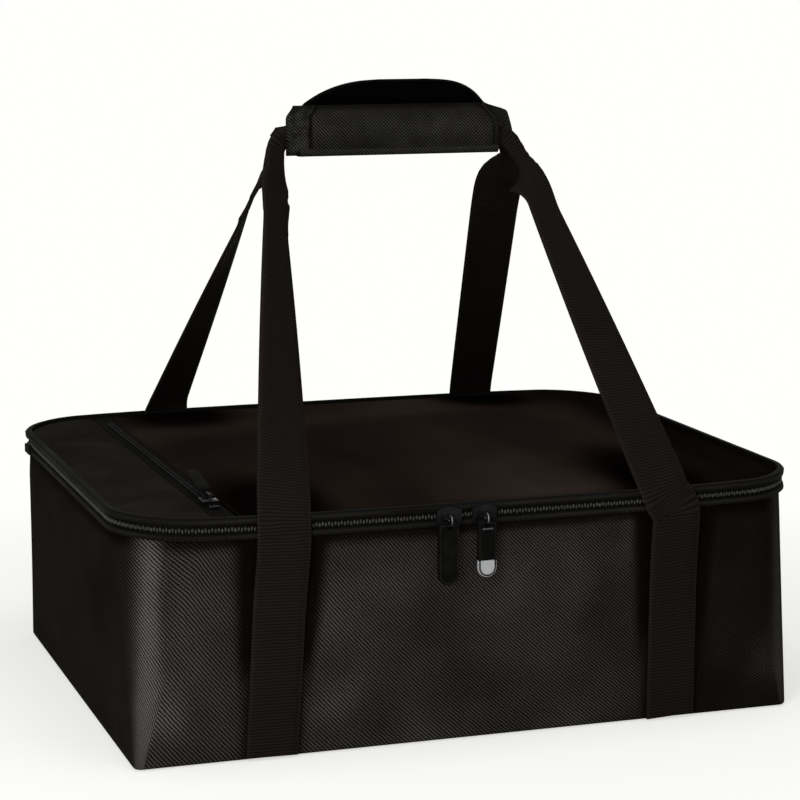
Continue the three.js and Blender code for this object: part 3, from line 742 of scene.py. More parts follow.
@dataclass(frozen=True)
class Cloth(Finish):
    """A woven finish.

    Attributes:
        weave: how it is woven.
        pitch: distance between ribs or threads.
        cross: strength of the second diagonal, for a twill.
        flat_uv: read the piece's own flat map, and else its place.
        upright: for place, weave over X and Z instead of X and Y.
        contrast: how far the weave shows in the colour.
        patch: size of the broad tone patches.
        variation: how far those show.
        dust: amount of fine specks.
        sheen: soft light at the cloth's edge.
    """

    weave: Weave = Weave.PLAIN
    pitch: float = 0.0016
    cross: float = 0.35
    flat_uv: bool = True
    upright: bool = False
    contrast: float = 0.75
    patch: float = 0.07
    variation: float = 0.35
    dust: float = 0.1
    sheen: float = 0.0

    def pattern(self, nodes: Nodes) -> tuple[object, object, object]:
        """Sockets for the colour's share of light, the relief and the wear.

        Args:
            nodes: the material's.

        Returns:
            The three sockets.
        """
        where = nodes.add("ShaderNodeTexCoord")
        vector = where.outputs["UV" if self.flat_uv else "Object"]
        if self.upright:
            turned = nodes.add("ShaderNodeMapping", {"Vector": vector, "Rotation": (-math.pi / 2, 0.0, 0.0)})
            vector = turned.outputs[0]
        values = {"Vector": vector, "Pitch": self.pitch}
        if self.weave is Weave.TWILL:
            values["Cross"] = self.cross
        weave = self.group(nodes, self.weave.value, **values)
        broad = self.group(nodes, "Tone and dust", Vector=where.outputs["Object"], Patch=self.patch, Dust=self.dust)
        height = weave.outputs["Height"]
        share = nodes.math("MULTIPLY_ADD", height, self.contrast, (1 - self.contrast) / 2)
        tone = nodes.math("MULTIPLY_ADD", broad.outputs["Tone"], self.variation, 1 - self.variation / 2)
        # The point attribute read here scales the light threads' share: real wear and dust, and on several pieces
        # painted shade and painted highlights.
        wear = nodes.add("ShaderNodeAttribute", attribute_name="WearAndShade").outputs["Fac"]
        share = nodes.math("MULTIPLY", nodes.math("MULTIPLY", share, tone), wear)
        if self.weave is Weave.RIBBED:
            share = nodes.math("MULTIPLY_ADD", weave.outputs["Edge"], 0.35, share)
        share = nodes.math("ADD", share, broad.outputs["Dust"], clamp=True)
        return share, height, broad.outputs["Tone"]

    def extra(self, shader: bpy.types.Node) -> None:
        """Sets the sheen."""
        shader.inputs["Sheen Weight"].default_value = self.sheen
        shader.inputs["Sheen Roughness"].default_value = 0.5


@dataclass(frozen=True)
class Hard(Finish):
    """A moulded, metal, foil or foam finish.

    Attributes:
        metallic: how metallic it is.
        size: of the grain, in metres.
        scuffs: how far light scuffs show.
        coat: a clear layer over it.
    """

    metallic: float = 0.0
    size: float = 0.0008
    scuffs: float = 0.35
    coat: float = 0.0

    def pattern(self, nodes: Nodes) -> tuple[object, object, object]:
        """Sockets for the colour's share of light, the relief and the wear.

        Args:
            nodes: the material's.

        Returns:
            The three sockets.
        """
        where = nodes.add("ShaderNodeTexCoord").outputs["Object"]
        grain = self.group(nodes, "Grain and scuffs", Vector=where, Size=self.size, Scuffs=self.scuffs)
        share = nodes.math("MULTIPLY_ADD", grain.outputs["Height"], 0.3, grain.outputs["Scuff"], clamp=True)
        return share, grain.outputs["Height"], grain.outputs["Height"]

    def extra(self, shader: bpy.types.Node) -> None:
        """Sets metal and coat."""
        shader.inputs["Metallic"].default_value = self.metallic
        shader.inputs["Coat Weight"].default_value = self.coat


SHELL_TWILL = Cloth(
    "Shell twill", Slot.TWILL, (0.0022, 0.0013, 0.001), (0.082, 0.0763, 0.0705), weave=Weave.TWILL, cross=0.45,
    relief=0.0003, contrast=1.0, variation=0.4, patch=0.03, dust=0.03, specular=0.002)
LID_TWILL = Cloth(
    "Lid twill", Slot.TWILL, (0.0012, 0.0007, 0.0005), (0.033, 0.0232, 0.0187), weave=Weave.TWILL, pitch=0.0013,
    relief=0.00012, contrast=0.5, variation=0.2, dust=0.02, specular=0.0)
POCKET_CLOTH = Cloth(
    "Pocket cloth", Slot.TWILL, (0.0012, 0.0011, 0.0009), (0.0235, 0.0218, 0.019), pitch=0.0009, relief=0.0001,
    contrast=0.3, variation=0.5, patch=0.03, specular=0.0)
BAND_CLOTH = Cloth(
    "Band cloth", Slot.BINDING, (0.0028, 0.0026, 0.0022), (0.0145, 0.014, 0.0127), pitch=0.0011, relief=0.00012,
    contrast=0.45, variation=0.4, rough=(0.45, 0.6), specular=0.003)
TAPE_CLOTH = Cloth(
    "Zip tape", Slot.BINDING, (0.002, 0.0018, 0.0016), (0.0062, 0.0058, 0.0052), pitch=0.0007, relief=0.0001,
    flat_uv=False, specular=0.004)
WEBBING = Cloth(
    "Handle webbing", Slot.WEBBING, (0.0034, 0.0025, 0.0019), (0.0128, 0.0102, 0.0083), weave=Weave.RIBBED,
    pitch=0.0019, relief=0.00028, contrast=0.7, variation=0.3, dust=0.04, patch=0.05, specular=0.008)
GRIP_TWILL = Cloth(
    "Grip twill", Slot.TWILL, (0.0012, 0.001, 0.0008), (0.034, 0.0328, 0.0285), weave=Weave.TWILL, pitch=0.0015,
    flat_uv=False, upright=True, relief=0.0003, patch=0.012, contrast=1.0, variation=0.5, specular=0.006)
# Near-black cloth that stands in for the shade inside the grip's raised top.
SHADE_LINING = Cloth(
    "Grip lining", Slot.TWILL, (0.0004, 0.0004, 0.0003), (0.0016, 0.0015, 0.0012), flat_uv=False, upright=True,
    specular=0.0)
PILE = Cloth(
    "Hook and loop pile", Slot.CLOSURE, (0.0004, 0.0004, 0.0003), (0.0018, 0.0016, 0.0014), weave=Weave.FUZZ,
    flat_uv=False, upright=True, relief=0.0006, specular=0.0)
THREAD = Cloth(
    "Sewing thread", Slot.BINDING, (0.004, 0.0036, 0.0032), (0.016, 0.0148, 0.0132), pitch=0.0006, flat_uv=False,
    relief=0.00005, specular=0.01)
BOUND_EDGE = Cloth(
    "Bound edge", Slot.BINDING, (0.0035, 0.0032, 0.0028), (0.0125, 0.0116, 0.0102), pitch=0.0009, flat_uv=False,
    relief=0.0001, specular=0.01)
FOIL = Hard(
    "Liner foil", Slot.LINER, (0.26, 0.268, 0.276), (0.4, 0.41, 0.42), rough=(0.4, 0.55), specular=0.3, relief=0.0007,
    metallic=0.4, size=0.012, scuffs=0.4)
FOAM = Hard(
    "Foam", Slot.FOAM, (0.66, 0.66, 0.63), (0.8, 0.8, 0.77), rough=(0.85, 0.95), specular=0.2, relief=0.0004,
    size=0.0018)
BOARD = Hard(
    "Board", Slot.BOARD, (0.14, 0.13, 0.115), (0.24, 0.225, 0.2), rough=(0.75, 0.9), specular=0.2, relief=0.0001,
    size=0.0014)
POCKET_COIL = Hard(
    "Pocket zip coil", Slot.CHAIN, (0.005, 0.0048, 0.0044), (0.024, 0.0232, 0.022), rough=(0.45, 0.6), specular=0.05,
    relief=0.00004, size=0.0006)
COIL = Hard(
    "Zip coil", Slot.CHAIN, (0.02, 0.0195, 0.018), (0.095, 0.092, 0.088), rough=(0.4, 0.55), specular=0.05,
    relief=0.00004, size=0.0006)
METAL = Hard(
    "Slider metal", Slot.METAL, (0.003, 0.003, 0.003), (0.012, 0.012, 0.0122), rough=(0.22, 0.38), specular=0.03,
    relief=0.00004, metallic=0.25, size=0.0011, scuffs=0.6)
BRIGHT_METAL = Hard(
    "Pull metal", Slot.METAL, (0.03, 0.03, 0.031), (0.16, 0.16, 0.162), rough=(0.22, 0.36), specular=0.5,
    relief=0.00003, metallic=0.8, size=0.001, scuffs=0.6)
RUBBER = Hard(
    "Pull rubber", Slot.RUBBER, (0.0016, 0.0015, 0.0013), (0.0085, 0.008, 0.0072), rough=(0.5, 0.65), specular=0.01,
    relief=0.00006, size=0.0007)
RUBBER_FACE = Hard(
    "Pull face", Slot.RUBBER, (0.003, 0.0028, 0.0026), (0.015, 0.0143, 0.0133), rough=(0.45, 0.6), specular=0.02,
    relief=0.00005, size=0.0006)
TIP = Hard(
    "Pull tip", Slot.TIP, (0.25, 0.254, 0.258), (0.36, 0.364, 0.368), rough=(0.35, 0.45), specular=0.2,
    relief=0.00003, size=0.0015, coat=0.2)


# Repeats


@dataclass(frozen=True)
class Beads:
    """Small rounded shapes set along a path by Geometry Nodes: teeth, coil turns or stitches.

    Attributes:
        pitch: distance between two of them.
        length: of each along the path.
        across: its size across the path.
        height: its size outwards.
        sides: faces round one.
    """

    pitch: float
    length: float
    across: float
    height: float
    sides: int = 6

    TREE = "Beads along a path"
    SIZES = ("Pitch", "Length", "Across", "Height")

    @classmethod
    def tree(cls) -> Tree:
        """The shared tree, built on first use.

        Returns:
            The tree.
        """
        found = bpy.data.node_groups.get(cls.TREE)
        if found:
            return found
        tree = bpy.data.node_groups.new(cls.TREE, "GeometryNodeTree")
        kinds = {"Geometry": "Geometry", **dict.fromkeys(cls.SIZES, "Float"), "Sides": "Int", "Finish": "Material"}
        for label, kind in kinds.items():
            tree.interface.new_socket(label, in_out="INPUT", socket_type="NodeSocket" + kind)
        tree.interface.new_socket("Geometry", in_out="OUTPUT", socket_type="NodeSocketGeometry")
        n = Nodes(tree)
        given, out = n.add("NodeGroupInput").outputs, n.add("NodeGroupOutput").inputs
        curve = n.add("GeometryNodeMeshToCurve", {"Mesh": given["Geometry"]})
        places = n.add("GeometryNodeResampleCurve", {"Curve": curve.outputs[0], "Length": given["Pitch"]},
                       mode="LENGTH")
        tangent = n.add("GeometryNodeInputTangent")
        outward = n.add("GeometryNodeInputNamedAttribute", {"Name": "outward"}, data_type="FLOAT_VECTOR")
        first = n.add("FunctionNodeAlignRotationToVector", {"Vector": tangent.outputs[0]}, axis="X")
        turned = n.add("FunctionNodeAlignRotationToVector",
                       {"Rotation": first.outputs[0], "Vector": outward.outputs[0]}, axis="Z", pivot_axis="X")
        halves = [n.math("MULTIPLY", given[label], 0.5) for label in cls.SIZES[1:]]
        size = n.add("ShaderNodeCombineXYZ", dict(enumerate(halves)))
        bead = n.add("GeometryNodeMeshUVSphere", {"Segments": given["Sides"], "Rings": 4, "Radius": 1.0})
        placed = n.add("GeometryNodeInstanceOnPoints", {
            "Points": places.outputs[0], "Instance": bead.outputs["Mesh"],
            "Rotation": turned.outputs[0], "Scale": size.outputs[0]})
        real = n.add("GeometryNodeRealizeInstances", {0: placed.outputs[0]})
        rounded = n.add("GeometryNodeSetShadeSmooth", {0: real.outputs[0]})
        coloured = n.add("GeometryNodeSetMaterial", {0: rounded.outputs[0], "Material": given["Finish"]})
        n.feed(out[0], coloured.outputs[0])
        return tree

    def along(self, name: str, paths: Iterable[tuple[Points, Points]], finish: Finish) -> Piece:
        """Sets the shapes along paths.

        Args:
            name: the piece's name.
            paths: lines of points, each with the outward direction at its points.
            finish: the material of the shapes.

        Returns:
            One plain mesh object with them all.
        """
        lines = list(paths)
        mesh = bpy.data.meshes.new(name)
        starts = np.cumsum([0] + [len(line) for line, _ in lines])
        edges = [(s + i, s + i + 1) for s, (line, _) in zip(starts, lines) for i in range(len(line) - 1)]
        mesh.from_pydata(np.vstack([line for line, _ in lines]).tolist(), edges, [])
        outward = np.vstack([np.broadcast_to(away, line.shape) for line, away in lines]).astype(np.float32)
        mesh.attributes.new("outward", "FLOAT_VECTOR", "POINT").data.foreach_set("vector", outward.ravel())
        piece = place(name, mesh)
        modifier = piece.modifiers.new("Beads", "NODES")
        modifier.node_group = self.tree()
        values = {size.capitalize(): value for size, value in asdict(self).items()} | {"Finish": finish.material()}
        for socket in modifier.node_group.interface.items_tree:
            if socket.in_out == "INPUT" and socket.name in values:
                modifier[socket.identifier] = values[socket.name]
        return finished_mesh(piece)


STITCH = Beads(pitch=3.2 * MM, length=2.5 * MM, across=0.55 * MM, height=0.45 * MM)
TOOTH = Beads(pitch=3.6 * MM, length=1.35 * MM, across=2.7 * MM, height=1.5 * MM, sides=8)
COIL_TURN = Beads(pitch=1.5 * MM, length=1.1 * MM, across=0.9 * MM, height=1.3 * MM, sides=8)


# The tub's plan, and the heights of its layers


@dataclass(frozen=True)
class TubPlan:
    """Outline of the tub's outer face at any height: a rectangle with rounded corners and bellied long sides."""

    half_length: float = 0.200
    half_depth: float = 0.155
    height: float = 0.1295
    flare: float = 0.004
    corner_low: float = 0.005
    corner_high: float = 0.041
    bow: float = 0.014
    short_steps: int = 24
    corner_steps: int = 14
    long_steps: int = 128

    @property
    def zipped(self) -> int:
        """How many points of an outline the main zip covers, from the first."""
        return 2 * self.short_steps + 2 * self.corner_steps + self.long_steps + 1

    def share(self, z: Real) -> Real:
        """Height as a share of the body, from 0 to 1."""
        return np.clip(np.asarray(z, float) / self.height, 0.0, 1.0)

    def belly(self, x: Real, z: Real) -> Real:
        """How far a long side stands out at X."""
        t = self.share(z)
        return self.bow * t * (1 - np.clip(np.abs(x) / (self.half_length + self.flare * t), 0, 1) ** 4)

    def wall_y(self, x: Real, z: Real) -> Real:
        """Distance from the middle to a long side."""
        return self.half_depth + self.flare * self.share(z) + self.belly(x, z)

    def outline(self, z: float, offset: float = 0.0, level: float | None = None) -> Points:
        """Points of the outline, counter-clockwise from above, from the back end of the left side.

        Args:
            z: the height whose outline it is.
            offset: distance outwards.
            level: the height at which the points lie, if not z.

        Returns:
            Array of points.
        """
        t = float(self.share(z))
        a = self.half_length + self.flare * t + offset
        b = self.half_depth + self.flare * t + offset
        r = max(mix(self.corner_low, self.corner_high, t) + offset, 0.001)
        runs = []

        def side(x0: float, y0: float, x1: float, y1: float, steps: int) -> None:
            """Adds a straight run."""
            s = np.arange(steps) / steps
            runs.append(np.stack([mix(x0, x1, s), mix(y0, y1, s)], 1))

        def arc(cx: float, cy: float, start: float) -> None:
            """Adds a quarter turn."""
            angle = start + np.arange(self.corner_steps) / self.corner_steps * math.pi / 2
            runs.append(np.stack([cx + r * np.cos(angle), cy + r * np.sin(angle)], 1))

        side(-a, b - r, -a, r - b, self.short_steps)
        arc(r - a, r - b, math.pi)
        side(r - a, -b, a - r, -b, self.long_steps)
        arc(a - r, r - b, 1.5 * math.pi)
        side(a, r - b, a, b - r, self.short_steps)
        arc(a - r, b - r, 0.0)
        side(a - r, b, r - a, b, self.long_steps)
        arc(r - a, b - r, math.pi / 2)
        flat = np.vstack(runs)
        out = self.bow * t * (1 - np.clip(np.abs(flat[:, 0]) / a, 0, 1) ** 4) * np.minimum(1, (flat[:, 1] / b) ** 4)
        flat[:, 1] += np.sign(flat[:, 1]) * out
        return np.column_stack([flat, np.full(len(flat), z if level is None else level)])

    def outward(self, points: Points) -> Points:
        """Level directions out of a ring of points."""
        along = unit(np.roll(points, -1, 0) - np.roll(points, 1, 0))
        return unit(spots(along[:, 1], -along[:, 0], 0))

    def around(self) -> Points:
        """Distance round the outline from the front's middle, with the closing point.

        Returns:
            A distance for each point.
        """
        ring = self.outline(self.height * 0.6)
        ring = np.vstack([ring, ring[:1]])
        run = lengths_along(ring)
        front = self.short_steps + self.corner_steps + self.long_steps // 2
        return run - run[front]

    def half_depth_at(self, x: Points, inset: float) -> Points:
        """Half depth of the rim's outline, set in, at places along X.

        Args:
            x: the places.
            inset: how far it is set in.

        Returns:
            A half depth for each.
        """
        ring = self.outline(self.height, -inset)
        back = ring[ring[:, 1] > 0]
        order = np.argsort(back[:, 0], kind="stable")
        return np.interp(x, back[order, 0], back[order, 1])


@dataclass(frozen=True)
class Levels:
    """Heights of the layers at rest, in metres."""

    rim: float = 0.1298
    lower_band_top: float = 0.1339
    parting: float = 0.1360
    upper_band_bottom: float = 0.1381
    upper_band_top: float = 0.1428
    lid_top: float = 0.1405
    lid_fabric: float = 0.0012
    lid_liner_bottom: float = 0.1337
    base_edge: float = 0.0025
    band_proud: float = 0.0027
    stitched: float = 0.087


PLAN = TubPlan()
LEVEL = Levels()
SHELL_WALL = 1.2 * MM


@dataclass(frozen=True)
class Strap:
    """One side of a handle loop.

    Attributes:
        side: -1 at the front, 1 at the back.
        hand: -1 at the left, 1 at the right.
        foot: from the base's end to the strap's middle, at the floor.
        rim: the same at the tub's rim.
        over: the same at the top of the zip bands.
        turn: turn of the webbing about the vertical as it leaves the band and where it starts to fold, in degrees.
        late: how late in the climb that turn comes.
        turning: the stretch of the bend over which the outer half turns to the outside, as shares.
        folding: the same for the inner half's fold.
        bend: points that the fold follows from where it starts into the grip, in millimetres.
    """

    side: int
    hand: int
    foot: float
    rim: float
    over: float
    turn: tuple[float, float]
    late: float
    turning: tuple[float, float]
    folding: tuple[float, float]
    bend: tuple[tuple[float, float, float], ...]

    def x(self, z: Real) -> Real:
        """Middle of the strap at a height up the wall."""
        return self.hand * (0.2 - mix(self.foot, self.rim, PLAN.share(z)))


STRAPS = {
    "front_left": Strap(-1, -1, 0.0785, 0.081, 0.081, (2, 55.5), 0.7, (0.04, 1.03), (0.31, 1.1), (
        (-86, -47, 288), (-83.7, -38, 297.1), (-80, -27, 307), (-74.4, -17, 314.2), (-70.6, -8, 322.9),
        (-68.7, -4.5, 328.4), (-65.5, -2.7, 331.5))),
    "front_right": Strap(-1, 1, 0.078, 0.085, 0.0935, (-8, 39), 1.1, (0.25, 1.0), (0.0, 0.62), (
        (85.2, -42, 292.4), (83.2, -32, 303.8), (80.8, -22, 312.9), (77.9, -14, 319.1), (74.9, -8, 324.3),
        (71.8, -4.5, 328.3), (67.5, -2.7, 331.5))),
    "back_left": Strap(1, -1, 0.096, 0.1, 0.0985, (200, 252), 0.85, (0.9, 1.05), (0.59, 0.83), (
        (-80.3, 40, 290), (-78, 33, 297.4), (-77.2, 25, 305.4), (-75.7, 16, 313.8), (-76.2, 9, 321.1),
        (-72.2, 4.5, 326.2), (-68, 2.7, 331))),
    "back_right": Strap(1, 1, 0.081, 0.082, 0.082, (-2, -18), 1.0, (0.0, 0.75), (0.0, 0.75), (
        (83.5, 40, 285.1), (81.2, 28, 299), (79.6, 19, 307.3), (77.6, 12, 314.8), (75.3, 6, 321.5),
        (73, 3.2, 327.3), (69, 2.7, 331.5))),
}


@dataclass(frozen=True)
class WallSwell:
    """How the soft walls stand out past their plan, never inwards."""

    front: float = 3.2 * MM
    short: float = 2.4 * MM
    wrinkle: float = 1.1 * MM

    def at(self, points: Points) -> Points:
        """Distance outwards at points of the wall.

        Args:
            points: array of points.

        Returns:
            A distance for each.
        """
        x, y, z = np.moveaxis(points, -1, 0)
        t = PLAN.share(z)
        up = smooth(t, 0.02, 0.4) * (1 - 0.75 * smooth(t, 0.86, 1.0))
        long_side = smooth(np.abs(y), 0.145, 0.153)
        free = smooth(PLAN.half_length - np.abs(x), -0.004, 0.05)
        for strap in STRAPS.values():
            near = np.abs(x - strap.x(z)) + np.where(np.sign(y) == strap.side, 0.0, 1.0)
            free = free * smooth(near, 0.0175, 0.05 + 0.03 * t)
        end = smooth(np.abs(x), 0.19, 0.198) * smooth(PLAN.half_depth - np.abs(y), 0.01, 0.07)
        waves = 0.5 + 0.5 * ripple(points * [1.0, 1.0, 0.7], 0.055, 3.0)
        pleats = sum(
            hump(y - at + 0.12 * z, 0.0065) * (1 - smooth(z, 0.012, reach))
            for at, reach in ((-0.075, 0.06), (-0.118, 0.05))
        )
        left = smooth(-x, 0.19, 0.198) * smooth(z, 0.001, 0.008)
        swell = self.front * free * long_side + self.short * end
        return up * (swell + self.wrinkle * waves * np.maximum(free * long_side, end)) + left * pleats * 1.3 * MM


SWELL = WallSwell()


@dataclass(frozen=True)
class WallShadeAndWear:
    """Wear of the walls' cloth with painted light: random tone, painted highlights down the vertical corners that
    partly stand for edge wear, painted shadows beside and along the straps and under the band, and painted shade on
    the short ends and the front's right end.
    """

    usual: float = 0.53
    # Strength of the painted corner highlights, and its share at the front left, front right, back left and back
    # right corners.
    corner: float = 2.1
    corners: tuple[float, float, float, float] = (1.0, 0.3, 0.45, 0.55)

    def at(self, points: Points, outward: Points) -> Points:
        """Wear and painted light and shade at points of the outer wall.

        Args:
            points: of the wall.
            outward: level directions out of it.

        Returns:
            A value for each.
        """
        x, y, z = np.moveaxis(points, -1, 0)
        t = PLAN.share(z)
        broad = ripple(points, 0.075, 21.0)
        fine = ripple(points * [1.0, 1.0, 0.8], 0.03, 4.0)
        value = self.usual * (1 + 0.6 * broad + 0.35 * fine)
        # Painted shade: darker towards the front's right end and on both short ends.
        front = smooth(-outward[..., 1], 0.3, 0.9)
        value = value * (1 - 0.75 * smooth(x, 0.095, 0.14) * front) * mix(0.35, 1.0, np.abs(outward[..., 1]) ** 2)
        # Painted shadows: a thin dark line along each strap's edges, and darker cloth beside the straps' upper part.
        for strap in STRAPS.values():
            away = np.abs(x - strap.x(z)) + np.where(np.sign(y) == strap.side, 0.0, 1.0)
            edge = hump(away - 0.0155, 0.0032) * 0.75
            strap_shade = 1 - smooth(away, 0.0165 + 0.0055 * t, 0.02 + 0.012 * t * (1 + 0.6 * fine))
            strap_shade = strap_shade * smooth(t, 0.1, 0.5) * 0.98
            value = value * (1 - np.maximum(edge, strap_shade))
        # Painted shadow under the lower band.
        value = value * (1 - 0.85 * smooth(z, 0.1215 - 0.006 * fine, 0.1275))
        # Painted highlight down each vertical corner, strongest at the front left, partly edge wear.
        for sx, sy, amount in zip((-1, 1, -1, 1), (-1, -1, 1, 1), self.corners):
            turn = np.degrees(np.arctan2(outward[..., 1] * sy, outward[..., 0] * sx))
            corner_highlight = hump(turn - 42 - 33 * (1 - t) ** 2.2, 7 + 30 * (1 - t) ** 2.5)
            gate = smooth(outward[..., 0] * sx, 0.02, 0.15)
            value = value + self.corner * amount * gate * corner_highlight * (1 - 0.3 * smooth(t, 0.8, 1.0))
        return np.clip(value, 0.02, 2.6)


WALL_SHADE_AND_WEAR = WallShadeAndWear()


@dataclass
class Tub:
    """The sewn tub: outer shell, foam, foil liner and its bound edge."""

    rows: int = 46
    liner_top: float = 132.0 * MM
    foam_at: tuple[float, float] = (1.5 * MM, 6.5 * MM)
    liner_at: tuple[float, float] = (6.8 * MM, 7.6 * MM)
    floor: float = 9.1 * MM

    def wall_rows(self, bottom: float, top: float, offset: float, count: int, swell: float = 1.0) -> Points:
        """Outlines up the wall that follow its swell.

        Args:
            bottom: height of the first.
            top: height of the last.
            offset: distance outwards.
            count: how many.
            swell: share of the wall's swell that they take.

        Returns:
            Array of loops.
        """
        rows = []
        for z in np.linspace(bottom, top, count):
            ring = PLAN.outline(z, offset)
            plain = PLAN.outline(z, 0.0)
            rows.append(ring + PLAN.outward(plain) * (SWELL.at(plain) * swell)[:, None])
        return np.array(rows)

    def shell(self) -> None:
        """Outer shell with floor, walls and their inner faces."""
        edge = LEVEL.base_edge
        foot = [PLAN.outline(edge * up, -edge * away) for up, away in ((0, 1), (0.12, 0.42), (0.45, 0.1))]
        outer = np.concatenate([np.array(foot), self.wall_rows(edge, PLAN.height, 0.0, self.rows)])
        inner = self.wall_rows(edge, PLAN.height, -SHELL_WALL, self.rows)[::-1]
        floor = PLAN.outline(SHELL_WALL, -SHELL_WALL - edge / 2)[None]
        rows = np.concatenate([outer, inner, floor])
        u = np.broadcast_to(PLAN.around(), (len(rows), rows.shape[1] + 1))
        v = np.broadcast_to(rows[:, :, 2].mean(1)[:, None], u.shape)
        piece = skin("outer_shell_cloth", rows, np.stack([u, v], -1))
        # Wear of the outer wall with its painted shade and painted highlights, one row of values per outline.
        wear = np.array([WALL_SHADE_AND_WEAR.at(row, PLAN.outward(row)) for row in outer])
        dress(set_wear_and_shade(piece, wear), SHELL_TWILL, Body.TUB, ["outer_shell"])

    def foam(self) -> None:
        """Foam ring inside the walls."""
        near, far = self.foam_at
        outer = self.wall_rows(3.8 * MM, self.liner_top, -near, 12, 0.0)
        inner = self.wall_rows(3.8 * MM, self.liner_top, -far, 12, 0.0)[::-1]
        ring = skin("wall_foam_padding", np.concatenate([outer, inner]), joined=True)
        dress(ring, FOAM, Body.TUB, ["wall_foam"])

    def liner(self) -> None:
        """Foil liner with small wrinkles that stand inwards."""
        near, far = self.liner_at
        outer = self.wall_rows(self.floor, self.liner_top, -near, 30, 0.0)
        inner = self.wall_rows(self.floor + 0.8 * MM, self.liner_top, -far, 30, 0.0)
        crease = 0.5 + 0.5 * ripple(inner, 0.018, 9.0)
        fade = smooth(inner[..., 2], self.floor, self.floor + 0.02) * (1 - smooth(inner[..., 2], 0.115, 0.124))
        for row, amount in zip(inner, crease * fade):
            row -= PLAN.outward(row) * (amount * 1.6 * MM)[:, None]
        dress(skin("inner_liner_foil", np.concatenate([outer, inner[::-1]])), FOIL, Body.TUB, ["inner_liner"])

    def bound_edge(self) -> None:
        """Binding over the top of foam and liner."""
        top = self.liner_top + 0.2 * MM
        inside = -self.liner_at[1]
        profile = [(-1.5 * MM, top), (-1.5 * MM, top + 0.9 * MM), (-2.2 * MM, top + 1.15 * MM),
                   (inside - 0.6 * MM, top + 1.1 * MM), (inside - 1.3 * MM, top + 0.5 * MM),
                   (inside - 1.3 * MM, top - 8 * MM), (inside - 0.9 * MM, top - 8.6 * MM),
                   (inside - 0.3 * MM, top - 8.2 * MM), (inside - 0.3 * MM, top)]
        rows = np.array([PLAN.outline(PLAN.height, out, z) for out, z in profile])
        dress(skin("liner_bound_edge", rows, joined=True), BOUND_EDGE, Body.TUB)

    def build(self) -> None:
        """Makes and dresses the tub's pieces."""
        self.shell()
        self.foam()
        self.liner()
        self.bound_edge()
        paint({"base_board": BOARD, "base_foam": FOAM})


